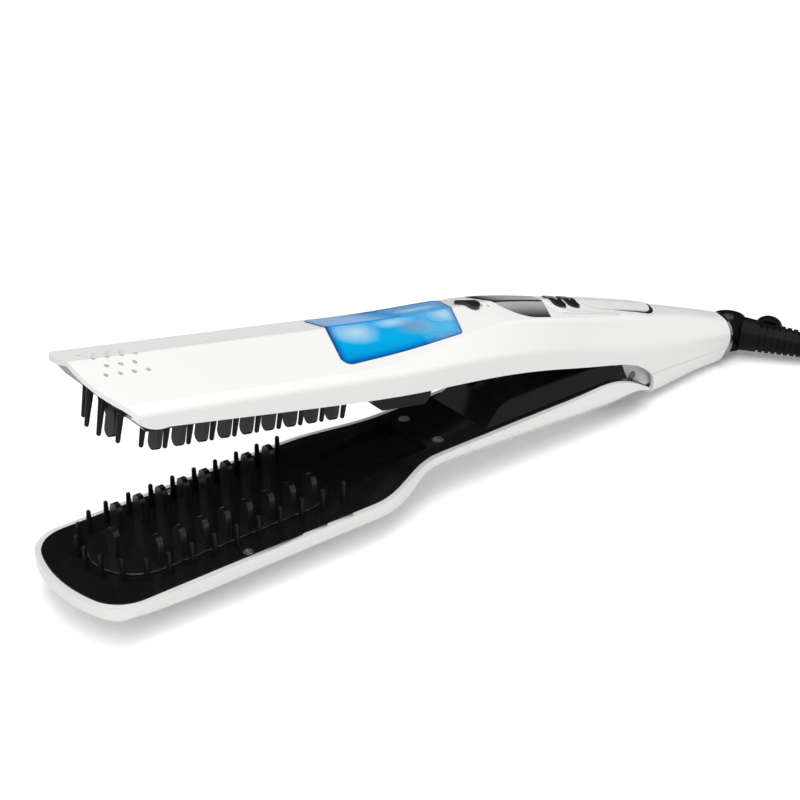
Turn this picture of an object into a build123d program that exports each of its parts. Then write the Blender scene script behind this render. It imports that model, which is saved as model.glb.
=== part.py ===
from build123d import *
from math import asin, atan2, cos, degrees, hypot, pi, radians, sin, sqrt, tan
import os

# Steam hair straightener with combs on both arms, lying open on a table.
# Origin: middle of the resting facet under the lower paddle. +X runs along
# the arms towards the handle and its cord, +Z is up. Lengths in millimetres.

# Whole assembly
hinge_x = 200.0
hinge_z = 15.8
open_angle = 10.9
shell_wall = 2.2
part_gap = 0.15

# Lower arm, outside of the white tray
lower_nose_x = -69.5
lower_nose_arc = 60.0
lower_nose_corner = 17.0
lower_paddle_half = 30.8
lower_shoulder_x = 50.0
lower_waist_x = 88.0
lower_neck_half = 20.7
lower_tip_half = 17.5
lower_paddle_rim = 18.7
lower_neck_rim = 21.9
lower_wall = 6.0
lower_keel_half = 9.5
lower_chine_radius = 8.0
lower_neck_radius = 4.0
lower_nose_lift = 1.08
lower_neck_bottom = 13.6
lower_hinge_bottom = 9.2
lower_tail = 4.0
lower_tail_rim = 11.4
ledge = 1.2
rest_trim = 0.15
cover_thickness = 1.8
cover_proud = 0.4

# Upper arm, in the arm's own frame: u along the arm from the hinge axis, v up
upper_nose_u = -268.0
upper_nose_arc = 43.0
upper_nose_corner = 5.0
upper_paddle_half = 28.6
upper_waist_u = -20.0
upper_waist_half = 17.5
upper_shoulder_u = -150.0
upper_ridge = 35.2
upper_hump = 37.4
upper_hump_u = -76.0
upper_crease = 26.2
upper_shoulder_half = 25.0
upper_grip_half = 14.5
upper_tail_half = 6.5
upper_end_u = 60.0
upper_comb_level = 18.6
upper_comb_thickness = 1.6
handle_axis_v = 6.75
roof_wall = 1.8

# Combs
comb_pitch = 9.5
comb_first_x = -35.6
comb_count = 8
upper_comb_lead = 4.1
front_blade_lead = 8.6
blade_row = 13.5
blade_width = 5.6
blade_thickness = 2.2
lower_blade_tip = 31.5
upper_blade_tip = 5.1
tooth_row = 21.2
upper_tooth_row = 20.5
tooth_radius = 0.85
tooth_taper = 2.2
tooth_shorter = 2.8
tooth_step_angle = 22.5
island_half = 18.0
island_thickness = 3.0
island_proud = 1.0
heater_thickness = 2.5
heater_half = 9.0

# Pump between the arms
pump_front_u = -146.0
pump_rear_u = -113.6
pump_half = 13.0
pump_bottom = 4.2
plunger_radius = 5.0
plunger_reach = 3.0
plunger_travel = 2.0
pocket_floor = 18.3

# Water tank
tank_front_u = -160.5
tank_rear_u = -99.5
tank_slant = 6.2
tank_front_half = 21.2
tank_rear_half = 15.2
tank_floor = 21.0
tank_wall = 1.4
tank_proud = 0.35
plug_radius = 4.0

# Hump on the lower neck
hump_front_x = 112.0
hump_rear_x = 190.3
hump_top = 29.6
hump_half = 13.8
hump_foot = 17.8
hump_wall = 1.4

# Hinge
pin_radius = 2.0
pin_fit = 0.05
lug_radius = 6.0
lug_inner = 3.7
lug_outer = 8.5
cheek_gap = 0.3
cheek_thickness = 2.5
cheek_radius = 8.2
bridge_bottom = 7.6
bridge_top = 12.6
slot_gap = 0.5
spring_wire = 1.2
spring_turns = 4

# Controls
switch_u = -91.2
switch_y = 1.2
switch_head = (-89.5, -1.5)
switch_head_radius = 2.7
switch_tail = (-93.3, 4.2)
switch_tail_radius = 0.9
switch_stem = 1.3
switch_travel = 4.0
display_front_u = -79.5
display_rear_u = -50.8
display_half = 12.6
display_slant = 6.0
button_length = 6.0
button_width = 13.0
button_pitch = 8.0
button_front_u = -43.5
button_travel = 0.8
button_proud = 0.6
thumb_front_u = -30.5
thumb_rear_u = 11.5
thumb_width = 14.0
thumb_axis_u = -27.5
thumb_axis_v = 28.6
thumb_barrel_radius = 1.0
thumb_barrel_half = 4.6
control_gap = 0.25

# Handle end and cord
ring_length = 3.5
ring_radius = 10.9
ring_bore = 8.9
base_radius = 8.6
swing_pin_x = 271.0
swing_pin_z = 10.4
swing_pin_radius = 1.5
fork_radius = 7.5
fork_cheek = 3.7
knuckle_half = 2.9
knuckle_radius = 4.2
knuckle_reach = 6.3
relief_yaw = -52.0
relief_pitch = -5.0
relief_start = 5.0
relief_length = 59.0
relief_root = 7.6
relief_tip = 4.0
rib_pitch = 2.8
rib_groove = 0.9
rib_depth = 0.7
loop_start = 11.5
loop_length = 12.5
loop_height = 3.2
cord_diameter = 5.6
hank_run = 92.0
hank_step = 6.35
hank_inner = 17.4
hank_draw = 7.0
hank_layer = 6.1
hank_loops = 3
tie_thickness = 0.8
tie_width = 12.0

os.makedirs("parts", exist_ok=True)


def ease(value, start, end):
    """Smooth step from 0 at start to 1 at end."""
    t = min(max((value - start) / (end - start), 0.0), 1.0)
    return (1 - cos(pi * t)) / 2


def mix(a, b, t):
    return a + (b - a) * t


# Frames. The upper arm has its own plane, tilted by the opening angle, with
# its origin on the hinge axis.
tilt = radians(open_angle)
arm = Plane(
    origin=(hinge_x, 0, hinge_z),
    x_dir=(cos(tilt), 0, -sin(tilt)),
    z_dir=(sin(tilt), 0, cos(tilt)),
)
arm_side = Plane(origin=arm.origin, x_dir=arm.x_dir, z_dir=(0, -1, 0))
lower_side = Plane(origin=(0, 0, 0), x_dir=(1, 0, 0), z_dir=(0, -1, 0))


def arm_point(u, y, v):
    return arm.from_local_coords((u, y, v))


def arm_section(u):
    return Plane(origin=arm_point(u, 0, 0), x_dir=(0, 1, 0), z_dir=arm.x_dir)


def arm_level(v):
    return arm.offset(v)


def cross(x):
    return Plane(origin=(x, 0, 0), x_dir=(0, 1, 0), z_dir=(1, 0, 0))


# Shape of the lower arm as functions of x
lower_end_x = hinge_x + lower_tail
lower_tail_x = hinge_x - 20.0


def lower_half(x):
    narrow = mix(lower_paddle_half, lower_neck_half, ease(x, lower_shoulder_x, lower_waist_x))
    return mix(narrow, lower_tip_half, ease(x, lower_tail_x, lower_end_x + 12))


def lower_rim(x):
    rise = mix(lower_paddle_rim, lower_neck_rim, ease(x, lower_shoulder_x, lower_waist_x))
    t = max((x - lower_tail_x) / (lower_end_x - lower_tail_x), 0.0)
    return rise - (lower_neck_rim - lower_tail_rim) * t**1.6


def lower_bottom(x):
    nose = 1 - ease(x, lower_nose_x - 22, lower_nose_x + 40)
    ramp = ease(x, lower_shoulder_x, lower_waist_x)
    neck = mix(lower_neck_bottom, lower_hinge_bottom, ease(x, lower_waist_x, hinge_x))
    return lower_paddle_rim * lower_nose_lift * nose + neck * ramp


def lower_chine(x):
    """Height where the upright side turns in towards the keel."""
    depth = lower_rim(x) - lower_bottom(x)
    paddle = lower_rim(x) - min(lower_wall, 0.55 * depth)
    neck = lower_bottom(x) + min(5.2, 0.6 * depth)
    return mix(paddle, neck, ease(x, lower_shoulder_x, lower_waist_x))


def lower_keel(x):
    """Half width of the flat underside."""
    return mix(lower_keel_half, lower_half(x) - 5.2, ease(x, lower_shoulder_x, lower_waist_x))


def lower_stations(margin):
    nose = [lower_nose_x - 4, lower_nose_x + 8, lower_nose_x + 22, lower_nose_x + 36]
    waist = lower_waist_x - lower_shoulder_x
    belly = [lower_nose_x + 70, lower_shoulder_x - 12]
    shoulder = [lower_shoulder_x + waist * k / 6 for k in range(7)]
    neck = [lower_waist_x + 20, (lower_waist_x + lower_tail_x) / 2, lower_tail_x - 12]
    tail = [lower_tail_x, lower_tail_x + 8, lower_tail_x + 16, lower_end_x + margin]
    return nose + belly + shoulder + neck + tail


def lower_nose(inset, tip_extra=0.0):
    """Plan outline that rounds the front of the lower paddle."""
    half = lower_paddle_half - inset
    tip = lower_nose_x + inset
    arc = lower_nose_arc - inset
    corner_x = tip + arc - sqrt(arc**2 - half**2)
    far = lower_end_x + tip_extra
    with BuildSketch(Plane.XY.offset(-5)) as outline:
        with BuildLine():
            ThreePointArc((corner_x, -half), (tip, 0), (corner_x, half))
            Line((corner_x, half), (far, half + 6))
            Line((far, half + 6), (far, -half - 6))
            Line((far, -half - 6), (corner_x, -half))
        make_face()
        corners = outline.vertices().filter_by(lambda p: abs(p.X - corner_x) < 0.01)
        fillet(corners, lower_nose_corner - inset)
    return outline.sketch


def lower_volume(inset, floor, top_extra=0.0, margin=0.0):
    """Closed body of the lower arm, moved inwards by inset."""
    with BuildPart() as volume:
        for x in lower_stations(margin):
            half = lower_half(x) - inset
            bottom = lower_bottom(x) + floor
            top = lower_rim(x) + top_extra
            keel = lower_keel(x) - 0.3 * inset
            chine = max(lower_chine(x) + 0.5 * floor, bottom + 0.3)
            chine = min(chine, top - 0.3 * (top - bottom))
            turn = atan2(half - keel, chine - bottom)
            turned = ease(x, lower_shoulder_x, lower_waist_x)
            room = 0.85 * (top - chine) / tan(turn / 2)
            round_chine = min(mix(lower_chine_radius, lower_neck_radius, turned), room)
            round_keel = min(lower_neck_radius, 3 * (chine - bottom))
            with BuildSketch(cross(x)) as section:
                with BuildLine():
                    Polyline(
                        (-half, top),
                        (-half, chine),
                        (-keel, bottom),
                        (keel, bottom),
                        (half, chine),
                        (half, top),
                        close=True,
                    )
                make_face()
                fillet(section.vertices().group_by(Axis.Y)[0], round_keel)
                fillet(section.vertices().filter_by(lambda p: abs(p.Y - chine) < 0.01), round_chine)
        loft()
        add(lower_nose(inset, margin))
        extrude(amount=80, mode=Mode.INTERSECT)
    return volume.part


def samples(start, end, count):
    return [start + (end - start) * k / count for k in range(count + 1)]


def lower_plan(inset, far):
    """Plan outline of the lower arm, moved inwards by inset."""
    half = lower_paddle_half - inset
    tip = lower_nose_x + inset
    arc = lower_nose_arc - inset
    corner_x = tip + arc - sqrt(arc**2 - half**2)
    neck = samples(lower_shoulder_x, lower_waist_x, 8)
    tail = samples(lower_tail_x, far, 3)
    end_slope = (lower_half(far) - lower_half(far - 1)) / 1.0
    with BuildSketch(Plane.XY) as outline:
        with BuildLine():
            ThreePointArc((corner_x, -half), (tip, 0), (corner_x, half))
            for side in (1, -1):
                necking = [(x, side * (lower_half(x) - inset)) for x in neck]
                ending = [(x, side * (lower_half(x) - inset)) for x in tail]
                Line((corner_x, side * half), necking[0])
                Spline(necking, tangents=[(1, 0), (1, 0)])
                Line(necking[-1], ending[0])
                Spline(ending, tangents=[(1, 0), (1, side * end_slope)])
            Line(*[(far, side * (lower_half(far) - inset)) for side in (1, -1)])
        make_face()
        corners = outline.vertices().filter_by(lambda p: abs(p.X - corner_x) < 0.01)
        fillet(corners, lower_nose_corner - inset)
    return outline.sketch


def lower_slab(inset, below, above):
    """Plate that follows the rim of the lower arm, a little past its end."""
    far = lower_end_x + 6
    neck = samples(lower_shoulder_x, lower_waist_x, 8)
    tail = samples(lower_tail_x, far, 4)
    front = lower_nose_x - 10
    end_slope = (lower_rim(far) - lower_rim(far - 1)) / 1.0
    with BuildPart() as slab:
        add(lower_plan(inset, far))
        extrude(amount=80, dir=(0, 0, 1))
        with BuildSketch(lower_side):
            with BuildLine():
                for lift in (below, above):
                    necking = [(x, lower_rim(x) + lift) for x in neck]
                    ending = [(x, lower_rim(x) + lift) for x in tail]
                    Line((front, lower_paddle_rim + lift), necking[0])
                    Spline(necking, tangents=[(1, 0), (1, 0)])
                    Line(necking[-1], ending[0])
                    Spline(ending, tangents=[(1, 0), (1, end_slope)])
                Line((front, lower_paddle_rim + below), (front, lower_paddle_rim + above))
                Line((far, lower_rim(far) + below), (far, lower_rim(far) + above))
            make_face()
        extrude(amount=60, both=True, mode=Mode.INTERSECT)
    return slab.part


# Shape of the upper arm as functions of u
def upper_half(u):
    paddle = mix(upper_paddle_half, upper_waist_half, ease(u, upper_shoulder_u, upper_waist_u))
    past = max(u - upper_waist_u, 0.0)
    return paddle - 0.02 * past - 0.0007 * past**2


def upper_top(u):
    rise = mix(upper_ridge, upper_hump, ease(u, upper_hump_u - 70, upper_hump_u + 6))
    past = max(u - upper_hump_u, 0.0)
    return rise - 0.09 * past - 0.00038 * past**2


def upper_side(u):
    return mix(upper_crease, handle_axis_v + 4.0, ease(u, upper_shoulder_u + 20, upper_end_u))


def upper_bottom(u):
    grip = mix(-10.5, handle_axis_v - 10.6, ease(u, 5, upper_end_u + 6))
    return mix(upper_comb_level - 8, grip, ease(u, upper_shoulder_u + 30, upper_waist_u))


def roof_slope(u):
    return radians(mix(16.0, 11.5, ease(u, upper_shoulder_u, -70)))


def upper_shoulder(u):
    """Half width of the roof where it turns down into the side wall."""
    narrow = mix(upper_shoulder_half, upper_grip_half, ease(u, upper_shoulder_u - 15, -75))
    return mix(narrow, upper_tail_half, ease(u, -70, upper_end_u))


def upper_section(u, inset):
    """Rounded section: two feet, two sides, two shoulders and a ridge."""
    round_part = ease(u, upper_shoulder_u + 40, upper_end_u - 20)
    crown_r = mix(3.0, 8.0, round_part)
    side_r = mix(2.4, 8.0, round_part)
    foot_r = mix(2.0, 6.5, round_part)
    slope = roof_slope(u)
    shoulder_r = mix(2.0, 6.0, round_part)
    half = upper_half(u) + 0.1 * side_r - inset
    top = upper_top(u) + crown_r * (1 / cos(slope) - 1) - 1.03 * inset
    side = upper_side(u) - mix(0.55, 0.15, round_part) * inset
    shoulder_y = upper_shoulder(u) - mix(0.38, 0.75, round_part) * inset
    shoulder_v = top - shoulder_y * tan(slope)
    bottom = upper_bottom(u) + inset
    foot = half * mix(0.97, 0.64, ease(u, upper_waist_u - 10, upper_end_u - 5))
    with BuildSketch(arm_section(u)) as section:
        with BuildLine():
            Polyline(
                (-foot, bottom),
                (foot, bottom),
                (half, side),
                (shoulder_y, shoulder_v),
                (0, top),
                (-shoulder_y, shoulder_v),
                (-half, side),
                close=True,
            )
        make_face()
        fillet(section.vertices().group_by(Axis.Y)[0], max(foot_r - inset, 0.6))
        fillet(section.vertices().group_by(Axis.Y)[-1], max(crown_r - 0.5 * inset, 0.6))
        sides = section.vertices().filter_by(lambda p: abs(abs(p.X) - half) < 0.01)
        fillet(sides, max(side_r - inset, 0.6))
        shoulders = section.vertices().filter_by(lambda p: abs(abs(p.X) - shoulder_y) < 0.01)
        fillet(shoulders, max(shoulder_r - inset, 0.6))
    return section.sketch


def upper_volume(inset, front, rear):
    """Closed body of the upper arm, moved inwards by inset."""
    step = (upper_end_u + rear - upper_shoulder_u) / 15
    stations = [upper_shoulder_u + step * k for k in range(-3, 16)]
    with BuildPart() as volume:
        for u in stations:
            add(upper_section(u, inset))
        loft()
        add(upper_section(stations[0], inset))
        extrude(amount=stations[0] - upper_nose_u + front, dir=-arm.x_dir)
    return volume.part


def upper_nose(inset):
    """Plan outline of what is cut away to round the front of the upper arm."""
    half = upper_paddle_half + 0.9 - inset
    tip = upper_nose_u + inset
    arc = upper_nose_arc - inset
    corner_u = tip + arc - sqrt(arc**2 - half**2)
    wide = half + 20
    with BuildSketch(arm_level(-40)) as outline:
        with BuildLine():
            ThreePointArc((corner_u, -half), (tip, 0), (corner_u, half))
            Polyline(
                (corner_u, half),
                (corner_u + 25, half + 1),
                (corner_u + 25, wide),
                (tip - 20, wide),
                (tip - 20, -wide),
                (corner_u + 25, -wide),
                (corner_u + 25, -half - 1),
                (corner_u, -half),
            )
        make_face()
        corners = outline.vertices().filter_by(lambda p: abs(p.X - corner_u) < 0.01)
        fillet(corners, upper_nose_corner)
    return outline.sketch


def upper_body(inset, nose_inset, front, rear):
    with BuildPart() as body:
        add(upper_volume(inset, front, rear))
        add(upper_nose(nose_inset))
        extrude(amount=100, dir=arm.z_dir, mode=Mode.SUBTRACT)
    return body.part


def arm_prism(low, high, outline, *sizes):
    """Straight block along v above the plan outline that outline() draws."""
    with BuildPart() as prism:
        add(outline(low, *sizes))
        extrude(amount=high - low, dir=arm.z_dir)
    return prism.part


def risen(body, height):
    """Copy of a body of the upper arm, moved along v."""
    step = arm.z_dir * height
    return body.moved(Location((step.X, step.Y, step.Z)))


upper_outer = upper_body(0, 0, 4, 0)
upper_hollow = upper_volume(roof_wall, 6, 3)
upper_inner = upper_body(roof_wall + part_gap, roof_wall, 6, 0)

parts_made = []


def save(part, name):
    part.label = name
    export_step(part, f"parts/{name}.step")
    parts_made.append((name, len(part.solids()), round(part.volume)))


# Lower tray, planed flat where it rests on the table
with BuildPart() as lower_body:
    add(lower_volume(0, -rest_trim))
    with BuildSketch(Plane.XY):
        Rectangle(800, 200)
    extrude(amount=-10, mode=Mode.SUBTRACT)
lower_outer = lower_body.part
lower_hollow = lower_volume(shell_wall + ledge, shell_wall, top_extra=6, margin=6)
lower_rebate = lower_slab(shell_wall, -cover_thickness, 8)
slot_half = lug_outer + cheek_gap + cheek_thickness + slot_gap
slot_start_x = hinge_x - cheek_radius - 1.8
screw_x = lower_waist_x + 6.5
screw_y = 10.6
rim_screw_x = comb_first_x + 3.15 * comb_pitch
rim_screw_y = tooth_row + 4.8
screw_radius = 1.1
screw_head = 2.4
boss_radius = 2.6
rim_screw_radius = 0.8
rim_screw_head = 2.0
rim_boss_radius = 1.8
neck_boss_top = lower_rim(screw_x) - cover_thickness - part_gap
rim_boss_top = lower_paddle_rim - cover_thickness - part_gap
neck_screws = [(screw_x, screw_y), (screw_x, -screw_y)]
rim_screws = [(rim_screw_x, rim_screw_y), (rim_screw_x, -rim_screw_y)]

with BuildPart() as lower_bosses:
    with BuildSketch(Plane.XY.offset(1)):
        with Locations(*neck_screws):
            Circle(boss_radius)
    extrude(amount=neck_boss_top - 1)
    with BuildSketch(Plane.XY.offset(1)):
        with Locations(*rim_screws):
            Circle(rim_boss_radius)
    extrude(amount=rim_boss_top - 1)
    add(lower_outer, mode=Mode.INTERSECT)

with BuildPart() as lower_shell:
    add(lower_outer)
    add(lower_hollow, mode=Mode.SUBTRACT)
    add(lower_rebate, mode=Mode.SUBTRACT)
    add(lower_bosses.part)
    with BuildSketch(Plane.XY.offset(neck_boss_top)):
        with Locations(*neck_screws):
            Circle(screw_radius + 0.03)
    extrude(amount=-6, mode=Mode.SUBTRACT)
    with BuildSketch(Plane.XY.offset(rim_boss_top)):
        with Locations(*rim_screws):
            Circle(rim_screw_radius + 0.03)
    extrude(amount=-6, mode=Mode.SUBTRACT)
    with BuildSketch(Plane.XY.offset(-1)):
        with Locations((slot_start_x + 20, 0)):
            Rectangle(40, 2 * slot_half)
    extrude(amount=60, mode=Mode.SUBTRACT)
save(lower_shell.part, "lower_shell")

# Lower comb stations and teeth
comb_last_x = comb_first_x + (comb_count - 1) * comb_pitch
island_rear_x = comb_last_x + 14.0
island_front_x = comb_first_x - island_half
island_mid_x = (island_front_x + island_rear_x) / 2
island_span = island_rear_x - island_front_x - 2 * island_half
cover_top = lower_paddle_rim + cover_proud
island_top = cover_top + island_proud
blade_xs = [comb_first_x + k * comb_pitch for k in range(comb_count)]
front_blade_x = comb_first_x - comb_pitch
side_teeth = [(comb_first_x + k * comb_pitch, tooth_row) for k in range(comb_count + 1)]
side_teeth += [(x, -y) for x, y in side_teeth]
front_teeth = []
for k in range(1, 8):
    turn = radians(90 + k * tooth_step_angle)
    front_teeth.append((comb_first_x + tooth_row * cos(turn), tooth_row * sin(turn)))
tooth_top = lower_blade_tip - tooth_shorter

teeth_low = lower_paddle_rim - 0.8
teeth_high = tooth_top - tooth_radius
teeth_foot = tooth_radius + (teeth_high - teeth_low) * tan(radians(tooth_taper))
lifted = (Align.CENTER, Align.CENTER, Align.MIN)

# Lower cover with its hump and the pocket for the pump
pocket_front_x = hinge_x + pump_front_u - 1.0
pocket_rear_x = hinge_x + pump_rear_u + 1.1
pocket_wall = 1.2
neck_top = lower_neck_rim + cover_proud
hump_base = lower_neck_rim - 1.0


def hump_section(inset, low):
    """Section of the hump with hollow flanks, drawn in (y, z)."""
    top = hump_half - inset
    foot = hump_foot - inset
    head = hump_top - inset
    mid_y = mix(foot, top, 0.66)
    mid_z = mix(low, head, 0.42)
    with BuildSketch(cross(hump_front_x - 10)) as section:
        with BuildLine():
            Line((-top, head), (top, head))
            ThreePointArc((top, head), (mid_y, mid_z), (foot, low))
            Line((foot, low), (-foot, low))
            ThreePointArc((-foot, low), (-mid_y, mid_z), (-top, head))
        make_face()
        fillet(section.vertices().group_by(Axis.Y)[-1], 2.4)
    return section.sketch


def hump_block(inset, low):
    slope = 12.0
    front = hump_front_x + inset
    rear = hump_rear_x + (0 if inset == 0 else 5)
    head = hump_top - inset
    with BuildPart() as block:
        add(hump_section(inset, low))
        extrude(amount=hump_rear_x - hump_front_x + 30, dir=(1, 0, 0))
        with BuildSketch(lower_side) as side:
            with BuildLine():
                Polyline(
                    (front, low),
                    (front + slope, head - 1.2),
                    (front + slope + 14, head + 0.4),
                    (rear, head + 0.4),
                    (rear, low),
                    close=True,
                )
            make_face()
            bend = side.vertices().sort_by(Axis.X)[1]
            fillet(bend, 6)
        extrude(amount=30, both=True, mode=Mode.INTERSECT)
    return block.part


with BuildPart() as lower_cover:
    add(lower_slab(shell_wall + part_gap, 0.04 - cover_thickness, cover_proud))
    add(hump_block(0, hump_base))
    with BuildSketch(lower_side):
        with BuildLine():
            Polyline(
                (pocket_front_x - pocket_wall, pocket_floor - pocket_wall),
                (pocket_rear_x + pocket_wall, pocket_floor - pocket_wall),
                (pocket_rear_x + pocket_wall, lower_rim(pocket_rear_x + pocket_wall) - 0.5),
                (pocket_front_x - pocket_wall, lower_rim(pocket_front_x) - 0.5),
                close=True,
            )
        make_face()
    extrude(amount=pump_half + 0.4 + pocket_wall, both=True)
    with BuildSketch(Plane.XY.offset(pocket_floor)):
        with Locations(((pocket_front_x + pocket_rear_x) / 2, 0)):
            RectangleRounded(pocket_rear_x - pocket_front_x, 2 * pump_half + 0.8, 1.5)
    extrude(amount=10, mode=Mode.SUBTRACT)
    with BuildSketch(Plane.XY.offset(10)):
        with Locations((island_mid_x, 0)):
            SlotCenterToCenter(island_span + 2 * part_gap, 2 * (island_half + part_gap))
    extrude(amount=20, mode=Mode.SUBTRACT)
    add(hump_block(hump_wall, hump_base - 3), mode=Mode.SUBTRACT)
    with BuildSketch(Plane.XY):
        with Locations((slot_start_x + 20, 0)):
            Rectangle(40, 2 * slot_half)
        with Locations((lower_end_x + 10, 0)):
            Rectangle(20, 4 * slot_half)
    extrude(amount=50, mode=Mode.SUBTRACT)
    with BuildSketch(Plane.XY.offset(10)):
        with Locations(*neck_screws):
            Circle(screw_radius + 0.12)
        with Locations(*rim_screws):
            Circle(rim_screw_radius + 0.12)
    extrude(amount=20, mode=Mode.SUBTRACT)
    with BuildSketch(Plane.XY.offset(neck_top - 1.1)):
        with Locations(*neck_screws):
            Circle(screw_head + 0.12)
    extrude(amount=4, mode=Mode.SUBTRACT)
    with BuildSketch(Plane.XY.offset(cover_top - 1.1)):
        with Locations(*rim_screws):
            Circle(rim_screw_head + 0.12)
    extrude(amount=4, mode=Mode.SUBTRACT)
    for x, y in side_teeth + front_teeth:
        with Locations((x, y, teeth_low)):
            Cone(teeth_foot, tooth_radius, teeth_high - teeth_low, align=lifted)
        with Locations((x, y, teeth_high)):
            Sphere(tooth_radius)
save(lower_cover.part, "lower_cover")


def screw_set(spots, top, head, shaft, depth):
    """Cross-slotted screws in Plane.XY, heads sunk under top."""
    with BuildPart() as screws:
        with BuildSketch(Plane.XY.offset(top)):
            with Locations(*spots):
                Circle(head)
        extrude(amount=-1.0)
        fillet(screws.edges().group_by(Axis.Z)[-1], 0.25)
        with BuildSketch(Plane.XY.offset(top - 1.0)):
            with Locations(*spots):
                Circle(shaft)
        extrude(amount=-depth)
        with BuildSketch(Plane.XY.offset(top)):
            with Locations(*spots):
                Rectangle(1.3 * head, 0.5)
                Rectangle(0.5, 1.3 * head)
        extrude(amount=-0.5, mode=Mode.SUBTRACT)
    return screws.part


save(screw_set(neck_screws, neck_top - 0.1, screw_head, screw_radius, 5.5), "lower_neck_screws")
save(screw_set(rim_screws, cover_top - 0.1, rim_screw_head, rim_screw_radius, 5.5), "lower_rim_screws")


def blade_face(half_width, low, tip, rows):
    """Blades with round tips, drawn across the arm; low is the rooted end."""
    way = 1 if tip > low else -1
    centre = tip - way * half_width
    for row in rows:
        with Locations((row, (low + centre) / 2)):
            Rectangle(2 * half_width, abs(centre - low))
        with Locations((row, centre)):
            Circle(half_width)


# Lower heating comb, its heater and its insulator
blade_low = island_top - 1.0
with BuildPart() as lower_comb:
    with BuildSketch(Plane.XY.offset(island_top)):
        with Locations((island_mid_x, 0)):
            SlotCenterToCenter(island_span, 2 * island_half)
    extrude(amount=-island_thickness)
    fillet(lower_comb.edges().group_by(Axis.Z)[-1], 0.6)
    blade_planes = [cross(x - blade_thickness / 2) for x in blade_xs]
    with BuildSketch(*blade_planes):
        blade_face(blade_width / 2, blade_low, lower_blade_tip, (-blade_row, blade_row))
    extrude(amount=blade_thickness)
    with BuildSketch(cross(front_blade_x - blade_thickness / 2)):
        blade_face(blade_width / 2, blade_low, lower_blade_tip, (0,))
    extrude(amount=blade_thickness)
save(lower_comb.part, "lower_heating_comb")

island_bottom = island_top - island_thickness
heater_length = island_span + 10
with BuildPart() as lower_heater:
    with BuildSketch(Plane.XY.offset(island_bottom)):
        with Locations((island_mid_x, 0)):
            RectangleRounded(heater_length, 2 * heater_half, 2)
    extrude(amount=-heater_thickness)
save(lower_heater.part, "lower_heater")

insulator_wall = 2.0
insulator_drop = heater_thickness + insulator_wall
with BuildPart() as lower_insulator:
    with BuildSketch(Plane.XY.offset(island_bottom)):
        with Locations((island_mid_x, 0)):
            SlotCenterToCenter(island_span, 2 * island_half - 3)
    extrude(amount=-insulator_drop)
    with BuildSketch(Plane.XY.offset(island_bottom)):
        with Locations((island_mid_x, 0)):
            RectangleRounded(heater_length + 0.4, 2 * heater_half + 0.4, 2)
    extrude(amount=-heater_thickness, mode=Mode.SUBTRACT)
    with BuildSketch(Plane.XY.offset(island_bottom - heater_thickness)):
        with Locations((island_mid_x, 0)):
            RectangleRounded(heater_length - 20, heater_half, 2)
    extrude(amount=-insulator_wall, mode=Mode.SUBTRACT)
save(lower_insulator.part, "lower_insulator")

# Hinge bracket of the lower arm and the pin
foot_rear_x = hinge_x - 8.0
foot_front_x = hinge_x - 32.0
foot_low = lower_bottom(foot_front_x) + shell_wall + 0.1
lug_thickness = lug_outer - lug_inner
foot_top = foot_low + 2.2
with BuildPart() as hinge_bracket:
    with BuildSketch(Plane.XY.offset(foot_low)):
        with Locations(((foot_front_x + foot_rear_x) / 2, 0)):
            Rectangle(foot_rear_x - foot_front_x, 2 * lug_outer)
    extrude(amount=foot_top - foot_low)
    with BuildSketch(lower_side.offset(lug_inner), lower_side.offset(-lug_outer)):
        with Locations((hinge_x, hinge_z)):
            Circle(lug_radius)
        with BuildLine():
            Polyline(
                (foot_front_x + 10, foot_low),
                (foot_rear_x, foot_low),
                (hinge_x, hinge_z - lug_radius),
                (hinge_x, hinge_z + lug_radius),
                (foot_rear_x - 2, foot_top + 1.2),
                (foot_front_x + 10, foot_top),
                close=True,
            )
        make_face()
    extrude(amount=lug_thickness)
    with BuildSketch(lower_side.offset(-15)):
        with Locations((hinge_x, hinge_z)):
            Circle(pin_radius + pin_fit)
    extrude(amount=30, mode=Mode.SUBTRACT)
save(hinge_bracket.part, "hinge_bracket")

cheek_inner = lug_outer + cheek_gap
cheek_outer = cheek_inner + cheek_thickness
with BuildPart() as hinge_pin:
    with BuildSketch(lower_side.offset(-(cheek_outer + 0.1))):
        with Locations((hinge_x, hinge_z)):
            Circle(pin_radius)
    extrude(amount=2 * cheek_outer + 0.2)
    chamfer(hinge_pin.edges().filter_by(GeomType.CIRCLE), 0.3)
save(hinge_pin.part, "hinge_pin")

bridge_front_u = -8.0
bridge_rear_u = 24.0
yoke_screw_u = 14.8
with BuildPart() as hinge_yoke:
    with BuildSketch(arm_side.offset(cheek_inner), arm_side.offset(-cheek_outer)):
        Circle(cheek_radius)
        with BuildLine():
            Polyline(
                (bridge_front_u, bridge_bottom - 4),
                (bridge_front_u, bridge_top),
                (bridge_rear_u, bridge_top),
                (bridge_rear_u, -2),
                (0, -cheek_radius + 0.5),
                close=True,
            )
        make_face()
    extrude(amount=cheek_thickness)
    with BuildSketch(arm_level(bridge_bottom)):
        with Locations(((bridge_front_u + bridge_rear_u) / 2, 0)):
            Rectangle(bridge_rear_u - bridge_front_u, 2 * cheek_inner)
    extrude(amount=bridge_top - bridge_bottom)
    with BuildSketch(arm_side.offset(-20)):
        Circle(pin_radius + 0.02)
    extrude(amount=40, mode=Mode.SUBTRACT)
    with BuildSketch(arm_level(0)):
        with Locations((yoke_screw_u, 0), (yoke_screw_u + 5.5, 0)):
            Circle(1.4)
    extrude(amount=20, mode=Mode.SUBTRACT)
save(hinge_yoke.part, "hinge_yoke")

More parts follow.
